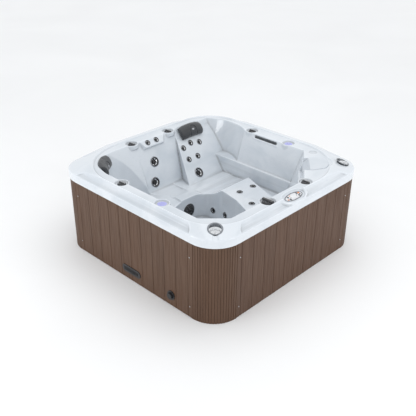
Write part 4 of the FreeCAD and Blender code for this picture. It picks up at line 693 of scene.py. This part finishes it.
@dataclass
class Stage:
    """Camera, lights and floor."""

    lens: float = 54.6
    sensor: float = 36.0
    eye: Triple = (3.9157, -4.1122, 3.4801)
    target: Triple = (-0.0102, -0.0401, 0.3816)
    roll: float = 0.34
    floor_half: float = 30.0
    floor_z: float = -0.0005
    sky: tuple = (0.97, 0.985, 1.0, 1.0)
    aim: Triple = (0.0, 0.0, 0.6)
    lamps: tuple = (
        ("overhead", (0.3, 0.6, 4.8), 3.0, 30.0),
        ("front_left", (-1.0, -5.4, 1.0), 1.9, 55.0),
        ("front_right", (5.4, 0.2, 1.0), 1.9, 45.0),
    )
    paper: Finish = Finish((0.93, 0.93, 0.93), (0.9, 0.9, 0.9), Pattern.MOTTLED, 0.4, (0.8, 0.9))

    def build(self) -> None:
        """Sets the stage."""
        scene = bpy.context.scene
        camera = bpy.data.cameras.new("camera")
        camera.lens = self.lens
        camera.sensor_width = self.sensor
        holder = bpy.data.objects.new("camera", camera)
        scene.collection.objects.link(holder)
        holder.location = self.eye
        look = (Vector(self.target) - Vector(self.eye)).to_track_quat("-Z", "Y")
        holder.rotation_mode = "QUATERNION"
        holder.rotation_quaternion = look @ Matrix.Rotation(math.radians(self.roll), 4, "Z").to_quaternion()
        scene.camera = holder
        scene.view_settings.view_transform = "Standard"
        world = bpy.data.worlds.new("studio")
        world.use_nodes = True
        background = world.node_tree.nodes["Background"]
        background.inputs["Color"].default_value = self.sky
        background.inputs["Strength"].default_value = 1.0
        scene.world = world
        for name, place, size, power in self.lamps:
            self.lamp(name, place, size, power)
        bpy.ops.mesh.primitive_plane_add(size=2 * self.floor_half)
        floor = bpy.context.active_object
        floor.name = "floor"
        floor.data.materials.append(NodeMaker("paper", self.paper).build())
        floor.location = (0.0, 0.0, self.floor_z)

    def lamp(self, name: str, place: tuple, size: float, power: float) -> None:
        """Adds a soft light that points at the tub.

        Args:
            name: Its name.
            place: Its place.
            size: Side of its square.
            power: In watts.
        """
        light = bpy.data.lights.new(name, "AREA")
        light.size = size
        light.energy = power
        holder = bpy.data.objects.new(name, light)
        bpy.context.scene.collection.objects.link(holder)
        holder.location = place
        holder.rotation_mode = "QUATERNION"
        holder.rotation_quaternion = (Vector(self.aim) - Vector(place)).to_track_quat("-Z", "Y")


@dataclass
class Shell(SubAssembly):
    """The moulded acrylic shell, with rounded edges."""

    voxel: float = 0.006
    smoothing: int = 3
    spreads: tuple = ((20, 0.8), (100, 0.22))
    triangles: int = 185000

    def creases(self, skin: Piece) -> tuple[kdtree.KDTree, numpy.ndarray]:
        """Measures how far each point lies inside a hollow or out on an edge.

        Args:
            skin: The even, dense shell mesh.

        Returns:
            A tree of the points, and each one's depth in metres, above zero in a hollow.
        """
        soft = self.copied(skin, "shell_soft")
        count = len(skin.data.vertices)
        hard = numpy.empty(count * 3)
        eased = numpy.empty(count * 3)
        facing = numpy.empty(count * 3)
        skin.data.vertices.foreach_get("co", hard)
        skin.data.vertex_normals.foreach_get("vector", facing)
        depths = numpy.zeros(count)
        for iterations, weight in self.spreads:
            self.apply(soft, "SMOOTH", factor=EASE, iterations=iterations)
            soft.data.vertices.foreach_get("co", eased)
            depths += weight * ((eased - hard) * facing).reshape(-1, 3).sum(axis=1)
        tree = kdtree.KDTree(count)
        for index, place in enumerate(hard.reshape(-1, 3)):
            tree.insert(place, index)
        tree.balance()
        bpy.data.objects.remove(soft)
        return tree, depths

    def marked(self, skin: Piece, tree: kdtree.KDTree, depths: numpy.ndarray) -> None:
        """Stores the depths on the finished mesh, where the acrylic material turns them into painted shade in
        hollows and painted highlights on edges.

        Args:
            skin: The finished shell.
            tree: The dense mesh's points.
            depths: Their depths.
        """
        layer = skin.data.attributes.new(CREASE, "FLOAT", "POINT")
        values = [depths[tree.find(vertex.co)[1]] for vertex in skin.data.vertices]
        layer.data.foreach_set("value", values)

    def build(self) -> None:
        """Rounds and dresses the shell."""
        skin = self.lifted("acrylic_shell", "shell_skin")
        self.apply(skin, "REMESH", mode="VOXEL", voxel_size=self.voxel, adaptivity=0.0)
        self.apply(skin, "SMOOTH", factor=EASE, iterations=self.smoothing)
        places, creases = self.creases(skin)
        faces = sum(len(face.vertices) - 2 for face in skin.data.polygons)
        if faces > self.triangles:
            self.apply(skin, "DECIMATE", ratio=self.triangles / faces)
        self.marked(skin, places, creases)
        self.focus(skin)
        bpy.ops.object.shade_smooth()
        self.paint(skin, "acrylic")
        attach(skin, "tub")
        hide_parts("acrylic_shell")
        LOG.info("shell_skin: %d faces from %d", len(skin.data.polygons), faces)


@dataclass
class Jets(SubAssembly):
    """Steel jet faces with black nozzles.

    The profiles give a jet of the big size, as radius and height in millimetres. Small jets are
    listed by radius, normal and places: lounger, calf pad, footwell riser and neck pad.
    """

    BACKREST = (0.9229, 0.0, 0.385)
    LOUNGER = (0.7809, 0.0, 0.6247)

    segments: int = 48
    radius: float = 58.0
    big: tuple = (
        ("backrest_jet_upper", (-793.72, -60.0, 655.0), BACKREST),
        ("backrest_jet_lower", (-713.21, -128.0, 462.0), BACKREST),
        ("lounger_jet", (-564.0, 386.0, 455.0), LOUNGER),
    )
    small: tuple = (
        (35.0, LOUNGER, ((-760.0, 340.0, 700.0), (-777.6, 466.0, 722.0), (-761.6, 590.0, 702.0),
                         (-673.6, 340.0, 592.0), (-673.6, 478.0, 592.0))),
        (35.0, (0.0, 0.0, 1.0), ((109.0, 309.0, 480.0), (120.0, 506.0, 480.0), (364.0, 204.0, 480.0))),
        (35.0, (-0.2162, -0.9751, 0.0499), ((31.69, 176.85, 227.0),)),
        (35.0, (0.0464, -0.9977, 0.0499), ((-148.99, 182.36, 212.0),)),
        (32.0, (0.7071, 0.0, 0.7071), ((-856.0, -92.0, 866.0), (-856.0, 28.0, 866.0))),
    )
    small_rise: float = 0.85
    small_spin: float = 30.0
    fins: int = 6
    fin: tuple = (17.0, 4.0, 9.0)
    fin_place: tuple = (28.5, 0.0, -4.2)
    fin_bevel: float = 1.2
    bright: tuple = (29.0, 38.0)
    dark_from: float = 48.5
    ring: tuple = (
        (58.0, 0.4), (57.6, 2.0), (55.0, 4.6), (50.5, 6.2), (45.0, 5.6), (41.0, 3.0), (38.5, -1.5),
        (37.5, -8.0), (40.0, -9.0), (40.5, 0.0), (46.0, 0.4),
    )
    cup: tuple = (
        (36.5, -14.5), (38.0, -7.0), (37.0, -6.0), (30.0, -8.5), (24.0, -9.0), (22.5, -2.0), (20.0, 1.5),
        (17.5, 1.8), (15.5, 0.0), (14.0, -6.0), (12.0, -9.0),
    )

    def face(self) -> Piece:
        """Models one jet at the origin.

        Returns:
            The jet, of the big size, facing up.
        """
        ring = self.turned("jet_ring", self.ring, self.segments, closed=True)
        cup = self.turned("jet_cup", self.cup, self.segments)
        turn = FULL_TURN / self.fins
        fins = [self.block("jet_fin", self.fin, self.fin_place, self.fin_bevel, turn * index)
                for index in range(self.fins)]
        parts = [ring, cup, *fins]
        for part in parts:
            self.paint(part, "jet_steel", "knob_dark", "chrome")
        for part in parts[1:]:
            self.mark(part, 1)
        self.mark(cup, 2, lambda reach, height: self.bright[0] < reach < self.bright[1])
        self.mark(ring, 1, lambda reach, height: reach < self.dark_from)
        jet = self.joined("jet_face", parts)
        self.smooth(jet)
        return jet

    def build(self) -> None:
        """Places every jet."""
        model = self.face()
        for node, place, normal in self.big:
            jet = self.copied(model, node + "_face")
            self.put(jet, Vector(place) * MM, Vector(normal))
            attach(jet, node)
            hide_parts(node)
        parts = []
        for radius, normal, places in self.small:
            ratio = radius / self.radius
            for place in places:
                jet = self.copied(model, "small_jet")
                jet.data.transform(Matrix.Diagonal((ratio, ratio, self.small_rise, 1.0)))
                self.put(jet, Vector(place) * MM, Vector(normal), self.small_spin)
                parts.append(jet)
        group = self.joined("small_jets", parts)
        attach(group, "tub")
        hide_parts("small_jet_faces")
        bpy.data.objects.remove(model)
        LOG.info("jets: %d", len(self.big) + len(parts))


@dataclass
class AirControls(SubAssembly):
    """Air knobs and the diverter.

    A knob's size is its foot radius and its top's height, and a grip is its length, width and height.
    """

    seat_z: float = 873.3
    knobs: tuple = (
        ("air_knob_west_south", -918.0, -261.0),
        ("air_knob_west_north", -918.0, 256.0),
        ("air_knob_south", -271.0, -918.0),
        ("air_knob_north", -262.0, 918.0),
        ("air_knob_east", 918.0, 300.0),
    )
    knob_size: tuple = (42.0, 15.0)
    knob_grip: tuple = (64.0, 14.0, 9.0)
    diverter: tuple = (918.0, -250.0)
    diverter_size: tuple = (57.0, 20.0)
    diverter_grip: tuple = (116.0, 25.0, 17.0)
    socket: tuple = ((8.2, 12.4), (8.2, 0.0))
    foot: tuple = ((-1.5, 0.0), (0.0, 1.5), (-0.8, 4.0))
    crown: tuple = ((-5.0, -3.0), (-7.5, -0.6), (-9.5, 0.0), (-12.0, -1.6))
    hub: tuple = (6.0, -2.4)
    cap_inset: float = 10.0
    cap_from: float = 12.8
    sunk: float = 3.0
    bevel: float = 2.6
    segments: int = 64

    def knob(self, name: str, size: tuple, grip: tuple) -> Piece:
        """Models a knob at the origin with a socket underneath.

        Args:
            name: The new object's name.
            size: Foot radius and height of the top face.
            grip: Size of the grip bar.

        Returns:
            The knob, facing up.
        """
        radius, height = size
        length, width, rise = grip
        foot = tuple((radius + inset, up) for inset, up in self.foot)
        crown = tuple((radius + inset, height + drop) for inset, drop in self.crown)
        profile = self.socket + foot + crown + ((self.hub[0], height + self.hub[1]),)
        body = self.turned(name, profile, self.segments)
        middle = height + rise / 4 - self.sunk / 2
        bar = self.block(name + "_grip", (length, width, rise + self.sunk), (0.0, 0.0, middle), self.bevel)
        for part in (body, bar):
            self.paint(part, "knob_dark", "knob_silver")
        cap = radius - self.cap_inset
        self.mark(body, 1, lambda reach, level: reach < cap and level > self.cap_from)
        piece = self.joined(name, [body, bar])
        self.smooth(piece)
        return piece

    def build(self) -> None:
        """Places the knobs."""
        model = self.knob("knob_model", self.knob_size, self.knob_grip)
        for node, x, y in self.knobs:
            piece = self.copied(model, node + "_grip")
            self.put(piece, Vector((x, y, self.seat_z)) * MM)
            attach(piece, node)
            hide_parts(node)
        bpy.data.objects.remove(model)
        lever = self.knob("diverter_lever", self.diverter_size, self.diverter_grip)
        self.put(lever, Vector((*self.diverter, self.seat_z)) * MM)
        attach(lever, "diverter_knob")
        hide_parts("diverter_knob")
        LOG.info("knobs: %d and a diverter", len(self.knobs))


@dataclass
class Lights(SubAssembly):
    """Coloured lenses in pale bezels."""

    places: tuple = ((281.0, -918.0), (240.0, 918.0))
    seat_z: float = 873.0
    bezel: tuple = ((47.8, 0.1), (47.8, 3.0), (46.4, 4.6), (44.0, 5.0), (42.4, 4.0), (42.2, 0.1))
    dome: tuple = ((42.0, 0.1), (42.0, 3.4), (38.0, 5.2), (29.0, 6.6), (16.0, 7.4), (2.0, 7.6))
    segments: int = 64

    def build(self) -> None:
        """Places the lenses."""
        bezel = self.turned("bezel", self.bezel, self.segments, closed=True)
        dome = self.turned("dome", self.dome, self.segments)
        for part in (bezel, dome):
            self.paint(part, "bezel", "lens")
        self.mark(dome, 1)
        model = self.joined("lens_model", [bezel, dome])
        self.smooth(model)
        pieces = []
        for x, y in self.places:
            piece = self.copied(model, "lens")
            self.put(piece, Vector((x, y, self.seat_z)) * MM)
            pieces.append(piece)
        bpy.data.objects.remove(model)
        group = self.joined("lens_faces", pieces)
        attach(group, "tub")
        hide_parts("light_lenses")
        LOG.info("lights: %d", len(self.places))


@dataclass
class ControlPanel(SubAssembly):
    """The oval keypad's trim ring, and marks that carry no name.

    A mark is its place across and along the face, its two half sizes and its material index.
    """

    centre: tuple = (1006.0, 6.0, 881.0)
    tilt: float = 11.0
    rise: float = -15.0
    face: float = 7.0
    lift: float = 0.02
    trim: tuple = ((100.0, 0.05), (100.0, 2.0), (98.0, 3.4), (92.0, 3.4), (90.0, 2.0), (90.0, 0.05))
    trim_halves: tuple = (46.5, 117.5)
    trim_segments: int = 96
    trim_angle: float = 50.0
    ink: tuple = ((1.0, 0.0), (1.0, 0.35), (0.9, 0.5))
    ink_segments: int = 24
    mark_angle: float = 35.0
    marks: tuple = (
        (-26.0, -62.0, 5.0, 4.0, 0), (26.0, -58.0, 6.0, 4.0, 0), (-26.0, 58.0, 6.0, 5.0, 0),
        (27.0, 60.0, 7.0, 4.5, 0), (2.0, -41.0, 4.0, 7.0, 0), (2.0, 40.0, 5.0, 6.0, 0),
        (6.0, 84.0, 9.0, 6.0, 0), (10.0, -84.0, 8.0, 8.0, 1), (-23.0, -30.0, 6.0, 7.0, 1),
        (-11.0, 82.0, 9.0, 14.0, 1),
    )

    def onto(self, piece: Piece, x: float, y: float, z: float) -> None:
        """Sets a piece on the tilted face.

        Args:
            piece: The object, modelled at the origin.
            x: Place across the face in millimetres.
            y: Place along the face in millimetres.
            z: Height over the housing's seat in millimetres.
        """
        lean = Matrix.Rotation(math.radians(self.tilt), 4, "Y")
        place = Matrix.Translation(Vector(self.centre) * MM)
        piece.data.transform(place @ lean @ Matrix.Translation(Vector((x, y, z + self.rise)) * MM))

    def oval(self) -> Piece:
        """Makes the grey oval ring around the face plate.

        Returns:
            The ring, in place.
        """
        ring = self.turned("panel_trim", self.trim, self.trim_segments, closed=True)
        self.paint(ring, "panel_trim")
        base = self.trim[0][0]
        short, long = self.trim_halves
        for vertex in ring.data.vertices:
            reach = math.hypot(vertex.co.x, vertex.co.y)
            offset = reach - base * MM
            vertex.co.x *= (short * MM + offset) / reach
            vertex.co.y *= (long * MM + offset) / reach
        self.onto(ring, 0.0, 0.0, self.face)
        self.smooth(ring, self.trim_angle)
        return ring

    def build(self) -> None:
        """Adds the trim ring and the marks."""
        trim = self.oval()
        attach(trim, "tub")
        inks = []
        for x, y, half_x, half_y, colour in self.marks:
            ink = self.turned("ink", self.ink, self.ink_segments)
            self.paint(ink, "marks", "amber")
            self.mark(ink, colour)
            ink.data.transform(Matrix.Diagonal((half_x, half_y, 1.0, 1.0)))
            self.onto(ink, x, y, self.face + self.lift)
            inks.append(ink)
        group = self.joined("panel_marks", inks)
        self.smooth(group, self.mark_angle)
        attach(group, "tub")
        LOG.info("panel marks: %d", len(self.marks))


@dataclass
class Pillow(SubAssembly):
    """One moulded foam head rest, puffed by a short cloth run."""

    node: str
    name: str
    place: tuple
    normal: tuple
    arch: float = 0.045
    arch_foot: float = -0.012
    groove: float = 0.007
    groove_half: float = 0.008
    bow: float = 0.014
    bow_rest: float = 0.35
    half: float = 0.157
    front: float = 0.03
    voxel: float = 0.005
    smoothing: tuple = (4, 2)
    angle: float = 60.0
    pressure: float = 4.0
    frames: int = 20
    cap: float = 0.006
    shrink: float = 0.94
    fill: float = 0.9
    boss: tuple = ((13.0, -3.0), (13.0, 1.2), (11.8, 2.4), (9.0, 3.0), (2.0, 3.2))
    boss_oval: tuple = (1.3, 0.85, 1.0, 1.0)
    boss_segments: int = 40

    def puffed(self, piece: Piece) -> None:
        """Swells the pillow with air pressure and caps each point's travel.

        Args:
            piece: The remeshed pillow.
        """
        rest = [vertex.co.copy() for vertex in piece.data.vertices]
        self.focus(piece)
        cloth = piece.modifiers.new("cloth", "CLOTH")
        cloth.settings.use_pressure = True
        cloth.settings.uniform_pressure_force = self.pressure
        cloth.settings.effector_weights.gravity = 0.0
        scene = bpy.context.scene
        for number in range(self.frames):
            scene.frame_set(number + 1)
        bpy.ops.object.modifier_apply(modifier=cloth.name)
        scene.frame_set(1)
        for vertex, start in zip(piece.data.vertices, rest):
            travel = vertex.co - start
            if travel.length > self.cap:
                vertex.co = start + travel.normalized() * self.cap

    def moulded(self, piece: Piece) -> Piece:
        """Bows the pillow, presses an arch into its front and makes a bare oval boss.

        Args:
            piece: The puffed pillow.

        Returns:
            The boss.
        """
        centre = Vector(self.place) * MM
        normal = Vector(self.normal).normalized()
        side = UP.cross(normal).normalized()
        upward = normal.cross(side).normalized()
        crown = 0.0
        for vertex in piece.data.vertices:
            local = vertex.co - centre
            along, rise, out = local.dot(side), local.dot(upward), local.dot(normal)
            vertex.co -= upward * self.bow * ((along / self.half) ** 2 - self.bow_rest)
            if out < self.front:
                continue
            if rise > self.arch_foot:
                reach = abs(math.hypot(along, rise - self.arch_foot) - self.arch)
            else:
                reach = abs(abs(along) - self.arch)
            if abs(along) < self.groove_half and abs(rise - self.arch_foot) < self.groove_half:
                crown = max(crown, out)
            if reach < self.groove_half:
                share = 1.0 - (reach / self.groove_half) ** 2
                vertex.co -= normal * (self.groove * share)
        piece.data.update()
        boss = self.turned("boss", self.boss, self.boss_segments)
        boss.data.transform(Matrix.Diagonal(self.boss_oval))
        turn = Matrix((side, upward, normal)).transposed().to_4x4()
        spot = centre + upward * (self.arch_foot + self.bow * self.bow_rest) + normal * crown
        boss.data.transform(Matrix.Translation(spot) @ turn)
        return boss

    def build(self) -> None:
        """Puffs, moulds and dresses the pillow."""
        piece = self.lifted(self.node, self.name)
        low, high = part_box(self.node)
        middle = (low + high) / 2
        shift = Matrix.Translation(middle)
        piece.data.transform(shift @ Matrix.Scale(self.shrink, 4) @ shift.inverted())
        self.apply(piece, "REMESH", mode="VOXEL", voxel_size=self.voxel, adaptivity=0.0)
        self.apply(piece, "SMOOTH", factor=EASE, iterations=self.smoothing[0])
        self.puffed(piece)
        self.apply(piece, "SMOOTH", factor=EASE, iterations=self.smoothing[1])
        self.apply(piece, "SUBSURF", levels=1, render_levels=1)
        boss = self.moulded(piece)
        for part in (piece, boss):
            self.paint(part, "pillow_foam", "badge")
        self.mark(boss, 1)
        piece = self.joined(self.name, [piece, boss])
        self.smooth(piece, self.angle)
        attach(piece, "tub")
        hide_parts(self.node)
        LOG.info("%s: %d faces", self.name, len(piece.data.polygons))


@dataclass
class Cups(SubAssembly):
    """Steel cup holders whose trim rings lie in the sloping corners, with painted shade on the upper steel
    and a painted sky reflection in the bowls.
    """

    centres: tuple = ((916.41, -916.41), (916.41, 916.41))
    bowl: float = 52.5
    painted_reflection_z: float = 877.0
    floor_z: float = 846.0
    bevel: float = 1.2
    bevel_angle: float = 40.0

    def build(self) -> None:
        """Rounds the liners' edges, paints their upper steel dark as shade and paints their bowls near white
        as a reflection.
        """
        group = self.lifted("cup_liners", "cup_faces")
        self.edit()
        # Splits the liners at the height between the painted shade above and the painted reflection below.
        bpy.ops.mesh.bisect(plane_co=(0.0, 0.0, self.painted_reflection_z * MM), plane_no=(0.0, 0.0, 1.0))
        bpy.ops.object.mode_set(mode="OBJECT")
        self.apply(group, "BEVEL", width=self.bevel * MM, segments=2, limit_method="ANGLE",
                   angle_limit=math.radians(self.bevel_angle))
        self.paint(group, "cup_trim", "cup_bowl_painted_reflection")
        for polygon in group.data.polygons:
            place = polygon.center / MM
            reach = min(math.hypot(place.x - x, place.y - y) for x, y in self.centres)
            # Faces in the bowl below the split take the painted reflection; the rest take the painted shade.
            inner = reach < self.bowl and self.floor_z < place.z < self.painted_reflection_z
            polygon.material_index = 1 if inner else 0
        self.smooth(group)
        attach(group, "tub")
        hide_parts("cup_liners")
        LOG.info("cups: %d", len(self.centres))


@dataclass
class Waterfall(SubAssembly):
    """A dark plate of painted shade in the throat behind the spout's ribs."""

    centre: tuple = (-20.0, 876.8, 859.0)
    # Size of the plate of painted shade that fills the throat.
    slot: tuple = (280.0, 1.0, 16.4)
    bevel: float = 0.3

    def build(self) -> None:
        """Adds the dark plate of painted shade."""
        # The plate stands in for the shade deep in the spout's throat.
        plate = self.block("waterfall_shadow_plate", self.slot, self.centre, self.bevel)
        self.paint(plate, "cover_dark")
        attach(plate, "tub")
        LOG.info("waterfall slot set")


@dataclass
class CadNodes(SubAssembly):
    """CAD nodes whose shape is right and that only take a finish."""

    finishes: dict = field(default_factory=lambda: {
        "boards_x": ("panel_south", "panel_north", "corner_panel_near", "corner_panel_right",
                     "corner_panel_back", "corner_panel_left"),
        "boards_y": ("panel_east", "panel_west"),
        "screw_steel": ("panel_screws",),
        "base_plastic": ("base_pan",),
        "plate": ("panel_housing",),
        "display_glass": ("panel_display",),
        "button_rubber": ("panel_button_1", "panel_button_2", "panel_button_3", "panel_button_4"),
        "spout": ("waterfall_spout",),
        "cover_dark": ("suction_cover", "vent_grille", "drain_valve", "drain_cap", "supply_gland"),
        "valve_plastic": ("air_valve_bodies", "diverter_body", "light_housings", "filter_canister"),
        "pipe_plastic": ("jet_bodies", "suction_body", "suction_pipe", "feed_pipe", "skimmer_pipe",
                         "water_manifold"),
        "lid_plastic": ("filter_lid", "weir_flap"),
        "filter_fabric": ("filter_cartridge",),
        "frame_wood": ("frame_posts", "top_rails", "shell_supports"),
        "insulation": ("insulation_boards",),
        "motor_paint": ("jet_pump_motor", "circulation_pump"),
        "wet_plastic": ("jet_pump_wet_end",),
        "heater_steel": ("heater",),
        "case_plastic": ("control_box", "ozone_generator"),
    })

    def build(self) -> None:
        """Dresses the nodes."""
        for key, nodes in self.finishes.items():
            for node in nodes:
                self.dress(node, key)
        LOG.info("finishes on CAD nodes: %d", len(self.finishes))


def main() -> None:
    """Builds every class in order."""
    logging.basicConfig(level=logging.INFO, format="%(message)s")
    Stage().build()
    Shell().build()
    Jets().build()
    AirControls().build()
    Lights().build()
    ControlPanel().build()
    Cups().build()
    Waterfall().build()
    Pillow("pillow_back", "head_rest_back", (-859.2, 525.0, 824.0), (0.7809, 0.0, 0.6247)).build()
    Pillow("pillow_left", "head_rest_left", (-774.3, -774.3, 824.0), (0.6689, 0.6689, 0.3243)).build()
    CadNodes().build()


if __name__ == "__main__":
    main()
